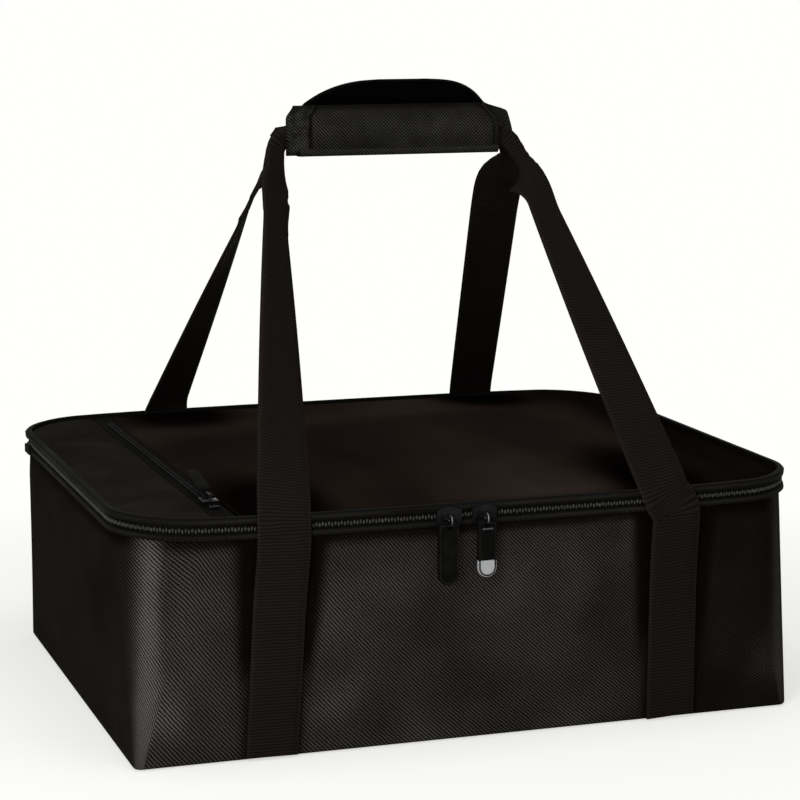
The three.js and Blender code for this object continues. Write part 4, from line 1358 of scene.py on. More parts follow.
@dataclass
class MainZip:
    """The two rolled bands, the zip between them, and the hinge strip behind."""

    hinge_half: float = 0.163
    hinge_y: float = 0.1764
    hinge_thickness: float = 0.8 * MM

    def ring(self, out: float, z: float) -> Points:
        """Rim outline, out past the wall, at a height."""
        return PLAN.outline(PLAN.height, out, z)

    def band(self, name: str, bottom: float, top: float) -> Piece:
        """A rolled band.

        Args:
            name: the piece's name.
            bottom: its lower edge.
            top: its upper edge.

        Returns:
            The band.
        """
        proud, tall = LEVEL.band_proud, top - bottom
        profile = [(-SHELL_WALL, 0.0), (proud - 1.6 * MM, 0.0), (proud - 0.7 * MM, 0.06), (proud - 0.15 * MM, 0.2),
                   (proud, 0.38), (proud + 0.1 * MM, 0.5), (proud, 0.66), (proud - 0.2 * MM, 0.84),
                   (proud - 0.8 * MM, 0.96), (proud - 1.8 * MM, 1.0), (-SHELL_WALL, 1.0)]
        rows = []
        for out, share in profile:
            row = self.ring(out, bottom + tall * share)
            if out > 0:
                pucker = ripple(row * [1.0, 1.0, 0.5], 0.012, 5.0 + bottom * 100) * 0.22 * MM
                row = row + PLAN.outward(row) * pucker[:, None]
            rows.append(row)
        rows = np.array(rows)
        u = np.broadcast_to(PLAN.around(), (len(rows) + 1, rows.shape[1] + 1))
        v = np.broadcast_to(lengths_along(np.array(profile + profile[:1]) * [1, tall])[:, None], u.shape)
        # Painted highlight along the rolled crest, broken up along the band, with painted shade over the rest of the
        # band.
        crest_highlight = hump(np.array(profile)[:, 1:] - 0.6, 0.16)
        runs = ripple(rows * [1.0, 1.0, 0.3], 0.035, 3.0 + bottom * 50)
        piece = skin(name, rows, np.stack([u, v], -1), joined=True, sharp=60)
        return set_wear_and_shade(piece, np.clip(0.25 + crest_highlight * (0.9 + 1.5 * runs), 0.1, 2.2))

    def tape(self, name: str, bottom: float, top: float) -> Piece:
        """Cloth tape behind the teeth, and on to the hinge strip.

        Args:
            name: the piece's name.
            bottom: its lower edge.
            top: its upper edge.

        Returns:
            The piece.
        """
        corners = [(0.2 * MM, bottom), (0.9 * MM, bottom), (0.9 * MM, top), (0.2 * MM, top)]
        lines = np.array([self.ring(out, z) for out, z in corners])
        return skin(name, lines.transpose(1, 0, 2), joined=True)

    def teeth(self, name: str, z: float, shift: int) -> Piece:
        """One side's teeth.

        Args:
            name: the piece's name.
            z: height of their middles.
            shift: 0 to start at the zip's first end, and 1 for half a pitch on.

        Returns:
            The teeth.
        """
        ring = self.ring(1.15 * MM, z)
        path, out = ring[: PLAN.zipped].copy(), PLAN.outward(ring)[: PLAN.zipped]
        end, beside = (0, 1) if shift else (-1, -2)
        path[end] += unit(path[beside] - path[end]) * TOOTH.pitch / 2
        return TOOTH.along(name, [(path, out)], COIL)

    def hinge(self) -> Piece:
        """Cloth strip that joins tub and lid behind.

        Returns:
            The piece.
        """
        near = LEVEL.band_proud + 0.3 * MM
        x = np.linspace(-self.hinge_half, self.hinge_half, 70)[:, None]
        levels = np.linspace(LEVEL.rim + 1 * MM, LEVEL.upper_band_top - 1 * MM, 12)
        inside = spots(x, PLAN.wall_y(x, PLAN.height) + near, levels)
        return sheet("back_hinge_cloth", inside, inside - self.hinge_thickness * FRONT, inside[..., [0, 2]])

    def stitches(self, name: str, z: float) -> Piece:
        """A line of stitches round a band's face.

        Args:
            name: the piece's name.
            z: the line's height.

        Returns:
            The piece.
        """
        ring = self.ring(LEVEL.band_proud + 0.05 * MM, z)
        whole = np.vstack([ring, ring[:1]])
        out = PLAN.outward(ring)
        return STITCH.along(name, [(whole, np.vstack([out, out[:1]]))], THREAD)

    def build(self) -> None:
        """Makes and dresses the zip's pieces."""
        low, middle, high = LEVEL.lower_band_top, LEVEL.parting, LEVEL.upper_band_bottom
        halves = (("lower", Body.TUB), ("upper", Body.LID))
        for (half, body), ends in zip(halves, ((LEVEL.rim, low), (high, LEVEL.upper_band_top))):
            dress(self.band(half + "_band_cloth", *ends), BAND_CLOTH, body, [half + "_zip_band"])
        for (half, body), ends in zip(halves, ((low, middle - 0.1 * MM), (middle + 0.1 * MM, high))):
            dress(self.tape(half + "_zip_tape", *ends), TAPE_CLOTH, body)
        for shift, (half, body) in enumerate(halves):
            z = middle + (shift - 0.5) * 0.5 * MM
            dress(self.teeth(half + "_zip_teeth", z, shift), COIL, body, [half + "_zip_chain"])
        start, end = (0, self.hinge_y, low - 0.1 * MM), (0, self.hinge_y, high + 0.1 * MM)
        dress(self.hinge(), TAPE_CLOTH, (Body.TUB, Body.LID, start, end), ["back_hinge_strip"])
        for (half, body), z in zip(halves, (LEVEL.rim + 1.2 * MM, LEVEL.upper_band_top - 1.3 * MM)):
            dress(self.stitches(half + "_band_stitches", z), THREAD, body)
        for side in ("left", "right"):
            dress_solid("end_tab_" + side, "zip_end_tab_" + side, 0.5 * MM, BOUND_EDGE, Body.TUB, 3)


@dataclass
class Lid:
    """The lid: main panel, flat zipped pocket at its left end, and the liner under it."""

    inset: float = 1.5 * MM
    crown_height: float = 6 * MM
    zip_x: float = -148 * MM
    tape_width: float = 13 * MM
    seam: float = 0.25 * MM
    coil_ends: tuple[float, float] = (-135 * MM, 138 * MM)
    pull_narrowed: float = 0.78

    def crown(self, x: Points, y: Points) -> Points:
        """Rise of the lid's layers.

        Args:
            x: places along X.
            y: places along Y.

        Returns:
            A height for each.
        """
        seam_x = self.zip_x + self.tape_width / 2
        end, depth = PLAN.half_length + PLAN.flare, PLAN.half_depth + PLAN.flare + PLAN.bow
        middle = (seam_x + end) / 2
        across = np.clip((x - middle) / (end - middle), -1, 1)
        along = np.clip(y / depth, -1, 1)
        return np.where(x < seam_x, 0.0, self.crown_height * (1 - across**2) * (1 - along**2))

    def grid(self, low: float, high: float, rows: int, columns: int) -> Points:
        """Flat grid over part of the lid's plan.

        Args:
            low: its left end along X.
            high: its right end.
            rows: how many rows along X.
            columns: how many points in each.

        Returns:
            Grid of X and Y.
        """
        half = PLAN.half_length + PLAN.flare - self.inset
        low, high = max(low, -half), min(high, half)
        t = np.linspace(0, 1, rows)
        if high == half:
            t = mix(t, np.sin(t * math.pi / 2), 0.75)
        if low == -half:
            t = mix(t, 1 - np.cos(t * math.pi / 2), 0.75)
        x = mix(low, high, t)
        reach = PLAN.half_depth_at(x, self.inset)
        return spots(x[:, None], reach[:, None] * crowded(columns, 0.5))

    def panel(self, name: str, flat: Points, swell: Points) -> Piece:
        """A cloth panel of the lid's top.

        Args:
            name: the piece's name.
            flat: its grid.
            swell: how far its top stands above the lid's plan.

        Returns:
            The panel.
        """
        x, y = np.moveaxis(flat, -1, 0)
        base = LEVEL.lid_top + self.crown(x, y)
        return sheet(name, spots(x, y, base - LEVEL.lid_fabric), spots(x, y, base + swell), flat)

    def rim_distance(self, flat: Points) -> Points:
        """Distance from the lid's edge, at each point of a grid.

        Args:
            flat: the grid.

        Returns:
            A distance for each point.
        """
        x, y = np.moveaxis(flat, -1, 0)
        ring = PLAN.outline(PLAN.height, -self.inset)[:, :2]
        away = np.full(x.shape, 1.0)
        for px, py in ring:
            away = np.minimum(away, np.hypot(x - px, y - py))
        return away

    def folds(self, flat: Points) -> Points:
        """Broad soft folds of the main panel.

        Args:
            flat: the panel's grid.

        Returns:
            A height for each point.
        """
        x, y = np.moveaxis(flat, -1, 0)
        away = self.rim_distance(flat)
        waves = 0.5 + 0.5 * ripple(spots(x * 0.55, y * 1.1, 0), 0.06, 11.0)
        long_fold = hump(y - 0.035 - 0.25 * x, 0.03) * smooth(x, -0.12, 0.0)
        side_fold = hump(x - 0.135 - 0.3 * y, 0.022)
        edge = hump(away - 0.014, 0.007)
        return smooth(away, 0.0, 0.03) * (2.4 * waves + 1.8 * long_fold + 2.0 * side_fold) * MM + edge * 0.7 * MM

    def main_wear(self, flat: Points) -> Points:
        """Wear and painted light of the main panel: random tone, painted highlights in a band near the back and one
        left of the right straps, painted shadows where the straps rest, and painted shade towards the right end and
        along the rim.

        Args:
            flat: the panel's grid.

        Returns:
            A value for each point.
        """
        x, y = np.moveaxis(flat, -1, 0)
        spread = spots(x, y * 0.4, 0)
        value = 0.8 + 0.55 * ripple(spread, 0.07, 31.0) + 0.15 * ripple(spread, 0.02, 7.0)
        # Painted highlights: a band near the back, and one left of the right straps.
        value = value + 0.5 * hump(y - 0.1 - 0.1 * x, 0.03) * (1 - smooth(x, 0.09, 0.16))
        value = value + 0.25 * hump(x - 0.08, 0.05)
        # Painted shadows of the straps on the panel.
        for strap in STRAPS.values():
            foot = strap.side * 0.15
            away = np.hypot((x - float(strap.x(0.13))) / 0.05, (y - foot) / (0.09 - 0.02 * strap.side))
            value = value * (1 - 0.97 * (1 - smooth(away, 0.35, 1.05)))
        # Painted shade towards the right end.
        value = value * (1 - 0.75 * smooth(x, 0.13, 0.17))
        # Painted shade in the gutter along the rim.
        return np.clip(value * (0.45 + 0.55 * smooth(self.rim_distance(flat), 0.0, 0.012)), 0.05, 2.0)

    def puckers(self, flat: Points) -> Points:
        """Small wrinkles of the pocket panel.

        Args:
            flat: the panel's grid.

        Returns:
            A height for each point.
        """
        x, y = np.moveaxis(flat, -1, 0)
        away = self.rim_distance(flat)
        waves = 0.5 + 0.5 * ripple(spots(x, y * 0.6, 0), 0.03, 2.0)
        places = ((-0.098, 0.9, 0.006, 1.1), (-0.122, 0.5, 0.005, 1.0), (-0.02, 0.5, 0.02, 1.2))
        folds = sum(high * hump(y - at - slope * (x + 0.175), width) for at, slope, width, high in places)
        return smooth(away, 0.0, 0.02) * (1.5 * waves + folds) * MM

    def liner(self) -> None:
        """Foil under the lid, turned up round its edge."""
        x = (PLAN.half_length + PLAN.flare - self.inset) * crowded(110, 0.8)
        reach = PLAN.half_depth_at(x, self.inset)
        flat = spots(x[:, None], reach[:, None] * crowded(46, 0.5))
        x, y = np.moveaxis(flat, -1, 0)
        base = LEVEL.lid_liner_bottom + self.crown(x, y)
        creases = 0.5 + 0.5 * ripple(spots(x, y, 0), 0.022, 6.0)
        sag = smooth(self.rim_distance(flat), 0.012, 0.04) * creases * 1.6 * MM
        under = sheet("lid_liner_face", spots(x, y, base - sag), spots(x, y, base + 0.8 * MM), flat)
        profile = [(-1.4, 134.3), (-0.7, 134.3), (-0.6, 135.2), (-0.6, 136.8), (-0.7, 137.8), (-1.4, 137.8)]
        rows = np.array([PLAN.outline(PLAN.height, out * MM, z * MM) for out, z in profile])
        rim = skin("lid_liner_rim", rows, joined=True)
        dress(join("lid_liner_foil", [under, rim]), FOIL, Body.LID, ["lid_liner"])

    def coil(self) -> None:
        """The pocket zip's two rows of coil turns."""
        y = np.linspace(*self.coil_ends, 60)
        rows = [spots(self.zip_x + side * 1.2 * MM, y, LEVEL.lid_top + 0.8 * MM) for side in (-1, 1)]
        rows[1][0, 1] += COIL_TURN.pitch / 2
        turns = COIL_TURN.along("pocket_coil", [(row, UP) for row in rows], POCKET_COIL)
        dress(turns, POCKET_COIL, Body.LID, ["pocket_zip_chain"])

    def seams(self) -> None:
        """Stitches beside the pocket's zip tape."""
        paths = []
        for out, rise in ((-self.tape_width / 2 - 2 * MM, 0.1), (self.tape_width / 2 + 2.2 * MM, 0.4)):
            x = self.zip_x + out
            reach = float(PLAN.half_depth_at(np.array([x]), self.inset)[0]) - 3 * MM
            y = np.linspace(-reach, reach, 80)
            z = LEVEL.lid_top + self.crown(np.full_like(y, x), y) + rise * MM
            paths.append((spots(x, y, z), UP))
        dress(STITCH.along("pocket_seam_stitches", paths, THREAD), THREAD, Body.LID)

    def flattened(self, flat: Points, swell: Points) -> Points:
        """Swell held down beside the pocket's zip."""
        half = self.tape_width / 2
        return swell * smooth(np.abs(flat[..., 0] - self.zip_x), half + 1 * MM, half + 14 * MM)

    def build(self) -> None:
        """Makes and dresses the lid's pieces."""
        half_tape = self.tape_width / 2
        main = self.grid(self.zip_x + half_tape + self.seam, 1.0, 130, 70)
        pocket = self.grid(-1.0, self.zip_x - half_tape - self.seam, 40, 90)
        tape = self.grid(self.zip_x - half_tape + self.seam, self.zip_x + half_tape - self.seam, 8, 90)
        top = self.panel("lid_main_cloth", main, self.flattened(main, self.folds(main)))
        dress(set_wear_and_shade(top, both_faces(self.main_wear(main))), LID_TWILL, Body.LID, ["lid_main_panel"])
        dress(self.panel("lid_pocket_cloth", pocket, self.flattened(pocket, self.puckers(pocket))), POCKET_CLOTH,
              Body.LID, ["lid_pocket_panel"])
        dress(self.panel("pocket_tape_cloth", tape, tape[..., 0] * 0), TAPE_CLOTH, Body.LID, ["pocket_zip_tape"])
        self.liner()
        self.coil()
        self.seams()
        dress_solid("pocket_stop_metal", "pocket_zip_stop", 0.4 * MM, METAL, Body.LID)
        paint({"pocket_lining": BOARD, "lid_foam": FOAM})
        dress_solid("pocket_slider_metal", "pocket_slider", 0.35 * MM, METAL, Body.POCKET_SLIDER)
        there, back = (Matrix.Translation((way * self.zip_x, 0, 0)) for way in (1, -1))
        narrow = there @ Matrix.Diagonal((self.pull_narrowed, 1, 1, 1)) @ back
        dress_solid("pocket_pull_tab", "pocket_pull", 0.4 * MM, RUBBER, Body.POCKET_PULL, change=narrow)


# Handles


@dataclass
class HandleLoop:
    """One handle: a single webbing loop from the floor, over the rim and through the grip, and down again.

    In its bend into the grip the webbing's outer half keeps its way and the inner half folds behind it.

    Attributes:
        side: -1 for the front handle, 1 for the back one.
        lean_off: height at which the webbing leans in over the bands.
        crumple: share by which the folded webbing gathers in its bend.
        hinge_y: distance from the bag's middle to the handle's hinge.
        leaves_wall: height above which the webbing is meant to be wholly on the handle; the loop rides on no body, so
            it has no effect.
    """

    side: int
    width: float = 30 * MM
    thickness: float = 1.8 * MM
    folded_thickness: float = 1.4 * MM
    grip_half: float = 55 * MM
    grip_x: float = 2.5 * MM
    lean_off: float = 143.5 * MM
    crumple: float = 0.22
    hinge_y: float = 0.171
    leaves_wall: float = 0.142
    bend_steps: int = 12
    climb_steps: int = 46
    elbow_steps: int = 34
    inside_steps: int = 8

    @property
    def name(self) -> str:
        """front or back."""
        return "front" if self.side < 0 else "back"

    @property
    def straps(self) -> list[Strap]:
        """The loop's left and right sides."""
        return [STRAPS[f"{self.name}_{hand}"] for hand in ("left", "right")]

    def on_wall(self, strap: Strap, z: float) -> Points:
        """Middle of the webbing against the wall.

        Args:
            strap: the loop's side.
            z: the height.

        Returns:
            A point.
        """
        x = float(strap.x(z))
        edge = LEVEL.base_edge
        tuck = ((edge - z) / edge) ** 2 * edge / 2 if z < edge else 0.0
        y = float(PLAN.wall_y(x, z)) - tuck + 0.3 * MM + self.thickness / 2
        return np.array([x, strap.side * y, z])

    def at_bands(self, strap: Strap, z: float) -> Points:
        """Middle of the webbing where it passes the bands.

        Args:
            strap: the loop's side.
            z: the height.

        Returns:
            A point.
        """
        x = strap.hand * (0.2 - mix(strap.rim, strap.over, float(smooth(z, PLAN.height, LEVEL.upper_band_top))))
        inside = LEVEL.band_proud + (0.0 if strap.side < 0 else 1.1 * MM)
        y = float(PLAN.wall_y(x, PLAN.height)) + inside + 0.5 * MM + self.thickness / 2
        return np.array([x, strap.side * y, z])

    def wall_slope(self, strap: Strap, z: float) -> float:
        """Slope of the wall in plan where a strap lies on it."""
        x, step = float(strap.x(z)), 1 * MM
        return strap.side * float(PLAN.wall_y(x + step, z) - PLAN.wall_y(x - step, z)) / (2 * step)

    def wall_turn(self, strap: Strap, z: float) -> float:
        """Turn of the webbing where it lies flat on the wall, in degrees."""
        return math.degrees(math.atan(self.wall_slope(strap, z))) + (180.0 if strap.turn[0] > 90 else 0.0)

    @staticmethod
    def curve(points: Sequence[Points], steps: int) -> Points:
        """Points of a Bezier curve.

        Args:
            points: its two, three or four control points.
            steps: how many points to give, without the first.

        Returns:
            Array of points.
        """
        t = (np.arange(steps) + 1)[:, None] / steps
        order = len(points) - 1
        shares = [math.comb(order, k) * (1 - t) ** (order - k) * t**k for k in range(order + 1)]
        return sum(share * np.asarray(p)[None, :] for share, p in zip(shares, points))

    @staticmethod
    def through(points: Points, steps: int) -> Points:
        """Points of a smooth curve through others, without the first.

        Args:
            points: the points to pass.
            steps: how many points to give.

        Returns:
            Array of points.
        """
        p = np.vstack([2 * points[0] - points[1], points, 2 * points[-1] - points[-2]])
        at = np.linspace(0, len(points) - 1, steps + 1)[1:]
        k = np.minimum(at.astype(int), len(points) - 2)
        t, (a, b, c, d) = (at - k)[:, None], [p[k + i] for i in range(4)]
        return b + 0.5 * t * (c - a + t * (2 * a - 5 * b + 4 * c - d + t * (3 * (b - c) + d - a)))

    def climb(self, strap: Strap) -> tuple[Points, Points, Points, Points]:
        """One side of the loop, from the floor to the grip.

        Args:
            strap: the side.

        Returns:
            Its points, the way from each to the webbing's outer edge, how far it is folded and how far it is
            crumpled, both from 0 to 1.
        """
        low, high = 1.5 * MM, LEVEL.stitched
        heights = np.concatenate([[low, LEVEL.base_edge], np.linspace(6 * MM, high, 22)])
        wall = np.array([self.on_wall(strap, z) for z in heights])
        leaving = self.on_wall(strap, mix(high, PLAN.height, 0.4))
        clear = self.at_bands(strap, mix(high, PLAN.height, 0.75))
        rim, top = self.at_bands(strap, PLAN.height), self.at_bands(strap, LEVEL.upper_band_bottom)
        lean, folded = self.at_bands(strap, self.lean_off), np.array(strap.bend) * MM
        bent = lean + unit(folded[0] - lean) * 12 * MM
        entry = folded[-1]
        inside = np.array([self.grip_x + strap.hand * self.grip_half, entry[1], entry[2]])
        parts = [wall, self.curve([wall[-1], leaving, clear, rim], 12), self.curve([rim, top], 4),
                 self.curve([top, lean, bent], self.bend_steps), self.curve([bent, folded[0]], self.climb_steps),
                 self.through(folded, self.elbow_steps), self.curve([entry, inside], self.inside_steps)]
        points = np.vstack(parts)
        flat, (first, last) = self.wall_turn(strap, PLAN.height), strap.turn
        on_wall = [self.wall_turn(strap, z) for z in heights] + [flat] * 16
        off = mix(flat, first, smooth(np.arange(self.bend_steps) + 1, 0, self.bend_steps))
        rise = (np.arange(self.climb_steps) + 1) / self.climb_steps
        ending = np.full(self.elbow_steps + self.inside_steps, float(last))
        turn = np.radians(np.concatenate([on_wall, off, mix(first, last, rise**strap.late), ending]))
        level = strap.hand * spots(np.cos(turn), np.sin(turn), 0)
        tangent = unit(np.gradient(points, axis=0))
        outward = strap.hand * spots(tangent[:, 2], 0, -tangent[:, 0])
        before = len(turn) - self.elbow_steps - self.inside_steps
        share = np.concatenate([np.zeros(before), (np.arange(self.elbow_steps) + 1) / self.elbow_steps,
                                np.ones(self.inside_steps)])
        outer = mix(level, outward, smooth(share, *strap.turning)[:, None])
        crumpled = smooth(share, 0.1, 0.6)
        crumpled[-self.inside_steps:] = np.linspace(0.9, 0.0, self.inside_steps)
        return points, outer, smooth(share, *strap.folding), crumpled

    def section(self, fold: float, crumple: float, columns: int = 10) -> tuple[Points, Points]:
        """Cross-section, folded lengthwise by a share.

        Args:
            fold: 0 for flat and 1 for folded in half.
            crumple: how far the folded halves gather towards the fold, from 0 to 1.
            columns: points each side of the middle.

        Returns:
            Loop of points across and along the fold, and each one's place across the flat webbing.
        """
        half = self.width / 2
        places = np.concatenate([[0.0], np.geomspace(0.35 * MM, half - 0.3 * MM, columns), [half]])
        fine = np.linspace(0, half, 600)
        turn = math.radians(90) * fold * smooth(fine, 0.0, mix(7 * MM, 1.8 * MM, fold))
        step = fine[1]
        across, out = np.cumsum(np.cos(turn)) * step, np.cumsum(np.sin(turn)) * step
        a, f = np.interp(places, fine, across), np.interp(places, fine, out)
        a[0] = 0.0
        f = f * (1 - self.crumple * crumple)
        angle = np.interp(places, fine, turn)
        thick = mix(self.thickness, self.folded_thickness, fold) / 2
        thick = thick * np.where(places > half - 0.2 * MM, 0.35, 1.0)
        right = [np.stack([a - np.sin(angle) * thick * s, f + np.cos(angle) * thick * s], 1) for s in (1, -1)]
        left = [part[:0:-1] * [-1, 1] for part in right]
        loop = np.vstack([left[0], right[0], right[1][::-1], left[1][::-1]])
        ups = np.concatenate([-places[:0:-1], places])
        return loop, np.concatenate([ups, ups[::-1]])

    def rows(self) -> tuple[Points, Points]:
        """Cross-sections along the whole loop, and their places across and along the webbing.

        Returns:
            The cross-sections, and a pair for each of their points.
        """
        (p0, w0, f0, c0), (p1, w1, f1, c1) = (self.climb(strap) for strap in self.straps)
        inner = self.curve([p0[-1], p1[-1]], 24)[:-1]
        level = np.ones(len(inner))
        points = np.vstack([p0, inner, p1[::-1]])
        folds, crumples = np.concatenate([f0, level, f1[::-1]]), np.concatenate([c0, 0 * level, c1[::-1]])
        tangent = unit(np.gradient(points, axis=0))
        outer = np.vstack([w0, level[:, None] * [[0.0, 0.0, 1.0]], w1[::-1]])
        outer = unit(outer - tangent * np.sum(outer * tangent, 1)[:, None])
        angle = (np.radians(90) * folds)[:, None]
        across = -outer * np.cos(angle) - np.cross(tangent, outer) * np.sin(angle)
        spine = np.cross(tangent, across)
        run = lengths_along(points)
        rows, uv = [], []
        for i in range(len(points)):
            loop, places = self.section(float(folds[i]), float(crumples[i]))
            pleat = crumples[i] * 0.3 * MM * math.sin(run[i] / (4.6 * MM) * 2 * math.pi)
            shift = pleat * (np.abs(places) / (self.width / 2)) ** 2
            rows.append(points[i] + (loop[:, :1] + shift[:, None]) * across[i] + loop[:, 1:] * spine[i])
            uv.append(np.stack([np.append(places, places[0]), np.full(len(places) + 1, run[i])], 1))
        return np.array(rows), np.array(uv)

    def build(self) -> None:
        """Makes and dresses the loop and its stitches."""
        loop = skin(self.name + "_handle_loop", *self.rows(), sharp=70)
        handle = Body.FRONT_HANDLE if self.side < 0 else Body.BACK_HANDLE
        y = self.hinge_y * self.side
        names = [f"{self.name}_{hand}_strap_{part}" for hand in ("left", "right") for part in ("sewn", "free")]
        bends = (Body.TUB, handle, (0, y, LEVEL.stitched), (0, y, self.leaves_wall))
        dress(loop, WEBBING, bends, names + [self.name + "_handle_webbing"])
        self.stitches()

    def stitches(self) -> None:
        """Stitches down both edges of the sewn stretches and across their tops."""
        paths = []
        reach = self.width / 2 - 2.4 * MM
        for strap in self.straps:
            out = np.array([0.0, strap.side, 0.0])
            face = self.thickness / 2 + 0.1 * MM
            heights = np.linspace(6 * MM, 83 * MM, 30)
            middle = np.array([self.on_wall(strap, z) for z in heights]) + out * face
            lean = np.array([1.0, self.wall_slope(strap, heights[-1]), 0.0])
            paths += [(middle + lean * reach * way, out) for way in (-1, 1)]
            for end in (middle[-1], middle[-1] - [0, 0, 9 * MM]):
                paths.append((np.array([end - lean * reach, end + lean * reach]), out))
        dress(STITCH.along(self.name + "_strap_stitches", paths, THREAD), THREAD, Body.TUB)


@dataclass
class Grip:
    """The padded wrap round both handles: back pad with its raised top, front flap and closure strips."""

    middle: float = 2.5 * MM
    half: float = 70 * MM
    bottom: float = 325 * MM
    flap_top: float = 355 * MM
    pad_top: float = 369.5 * MM
    wall: float = 6 * MM
    inside: float = 4.7 * MM
    edge: float = 2.4 * MM

    def ends(self, z: Points) -> tuple[Points, Points]:
        """Left and right ends of the flap at a height, its top corners cut or rounded.

        Args:
            z: the heights.

        Returns:
            X of both ends at each.
        """
        left = self.middle - self.half + 4.5 * MM * smooth(z, 0.347, 0.3555)
        right = self.middle + self.half - 4.6 * MM - 12.2 * MM * np.clip((z - 0.334) / 0.021, 0, 1) ** 2.8
        return left, right

    def dome(self, z: Points) -> tuple[Points, Points]:
        """Left and right edges of the pad's raised top at a height."""
        t = np.clip((z - self.flap_top) / (self.pad_top - self.flap_top), 0, 0.994)
        return self.middle - 56 * MM * (1 - t) ** 0.36, self.middle + 60 * MM * (1 - t) ** 0.18

    def pillow(self, name: str, base: Points, out: Points, border: Points, extra: Points) -> Piece:
        """Padded sheet with rounded edges.

        Args:
            name: the piece's name.
            base: grid of points of its flat face.
            out: direction of its thickness at each.
            border: distance of each point from the sheet's edge.
            extra: change of thickness at each point.

        Returns:
            The sheet.
        """
        t = np.clip(border / self.edge, 0, 1)
        round_off = np.sqrt(1 - (1 - t) ** 2)
        thick = 0.35 * MM + (self.wall - 0.35 * MM + extra) * (0.15 + 0.85 * round_off)
        return sheet(name, base, base + out * thick[..., None], base[..., [0, 2]])

    def seam_relief(self, x: Points, z: Points) -> Points:
        """Grooves of the end seams, and the soft waves between them.

        Args:
            x: places along the flap.
            z: their heights.

        Returns:
            A change of thickness for each.
        """
        left, right = self.ends(z)
        groove = -1.6 * hump(x - left - 13.8 * MM, 0.9 * MM)
        groove -= 0.8 * hump(x - right + 3.4 * MM, 0.8 * MM)
        waves = ripple(spots(x, z * 2.2, 0), 0.02, 4.0) * 0.55
        return (groove + waves) * MM

    def flap(self) -> None:
        """Front panel."""
        z1 = mix(self.bottom, self.flap_top, (crowded(30, 0.7) + 1) / 2)
        left, right = (end[:, None] for end in self.ends(z1))
        x = mix(left, right, (crowded(110, 0.6) + 1) / 2)
        z = np.broadcast_to(z1[:, None], x.shape)
        base = spots(x, -self.inside, z)
        border = np.minimum.reduce([x - left, right - x, z - self.bottom, self.flap_top - z])
        crown = 1.2 * MM * (1 - (np.abs(z - 0.340) / 0.015) ** 2) - 0.8 * MM
        piece = self.pillow("grip_flap_padding", base, FRONT, border, crown + self.seam_relief(x, z))
        # Painted highlight along the flap's crowned middle, over random tone.
        wear = 0.72 + 0.3 * hump(z - 0.341, 0.006) + 0.35 * ripple(base, 0.02, 6.0)
        band = 1 - smooth(x - left, 13 * MM, 14 * MM)
        wear = mix(wear, 1.2 + 1.6 * ripple(base, 0.0035, 3.0), band * 0.8)
        # Painted shade in the two seam grooves.
        wear = wear * (1 - 0.95 * hump(x - left - 14 * MM, 0.9 * MM))
        wear = wear * (1 - 0.7 * hump(right - x - 3.4 * MM, 0.7 * MM))
        # Painted shade along the top edge and the bottom fold.
        wear = wear * (1 - 0.75 * smooth(z, 0.3505, 0.3545)) * mix(0.35, 1.0, smooth(z, 0.3255, 0.329))
        set_wear_and_shade(piece, both_faces(np.clip(wear, 0.05, 2.0)))
        dress(piece, GRIP_TWILL, Body.FLAP, ["grip_flap"])

    def pad_profile(self) -> tuple[Points, Points]:
        """Line of the pad's inner face from front to top, in Y and Z.

        Returns:
            Its points, and the outward direction at each.
        """
        bend, under = self.inside * 0.75, self.bottom + self.wall
        flat, turned = 5, np.linspace(0, math.pi / 2, 12)[1:]
        rise = np.linspace(0, 1, 34)[1:]
        rise = np.sin(rise * math.pi / 2) * 0.6 + rise * 0.4
        y = [mix(-self.inside + 0.3 * MM, self.inside - bend, np.linspace(0, 1, flat)),
             self.inside - bend + bend * np.sin(turned), np.full(len(rise), self.inside)]
        z = [np.full(flat, under), under + bend - bend * np.cos(turned), mix(under + bend, self.pad_top, rise)]
        turn = np.concatenate([np.zeros(flat), turned, np.full(len(rise), math.pi / 2)])
        line = spots(np.concatenate(y), np.concatenate(z))
        return line, spots(np.sin(turn), -np.cos(turn))

    def pad(self) -> None:
        """Bottom fold and back panel with its raised, rounded top."""
        line, away = self.pad_profile()
        z1 = line[:, 1]
        above = smooth(z1, self.flap_top - 6 * MM, self.flap_top + 0.5 * MM)
        dome_left, dome_right = self.dome(z1)
        left = mix(self.ends(z1)[0] + 6.2 * MM, dome_left, above)
        shoulder = 9.5 * MM * smooth(z1, 0.331, 0.337) * np.sqrt(np.clip((0.3565 - z1) / 0.0195, 0, 1))
        right = mix(self.middle + self.half + shoulder, dome_right, above)
        left, right, run = left[:, None], right[:, None], lengths_along(line)[:, None]
        x = mix(left, right, (crowded(110, 0.6) + 1) / 2)
        base, out = spots(x, line[:, :1], line[:, 1:]), spots(0, away[:, :1], away[:, 1:])
        border = np.minimum(np.minimum(x - left, right - x), np.minimum(run, run[-1] - run))
        waves = ripple(base * [1, 1, 1.6], 0.02, 8.0) * 0.4 * MM
        piece = self.pillow("grip_pad_padding", base, out, border, waves - 0.4 * MM)
        # Painted shade over the whole raised top, on both faces.
        set_wear_and_shade(piece, both_faces(np.broadcast_to(mix(1.0, 0.12, above)[:, None], x.shape)))
        dress(piece, GRIP_TWILL, Body.BACK_HANDLE, ["grip_pad"])

    def dome_outline(self, inset: float, count: int = 60) -> Points:
        """Line over the raised top from its left foot to its right one, in the plane of X and Z.

        Args:
            inset: how far it lies inside the edge.
            count: how many points.

        Returns:
            Its points.
        """
        t = np.sin(np.linspace(0, math.pi / 2, count // 2))
        z = mix(self.flap_top - 3 * MM, self.pad_top, t)
        left, right = self.dome(z)
        line = np.vstack([np.stack([left, z], 1), np.stack([right, z], 1)[::-1]])
        away = unit(np.gradient(line, axis=0))[:, ::-1] * [1, -1]
        return line + away * inset

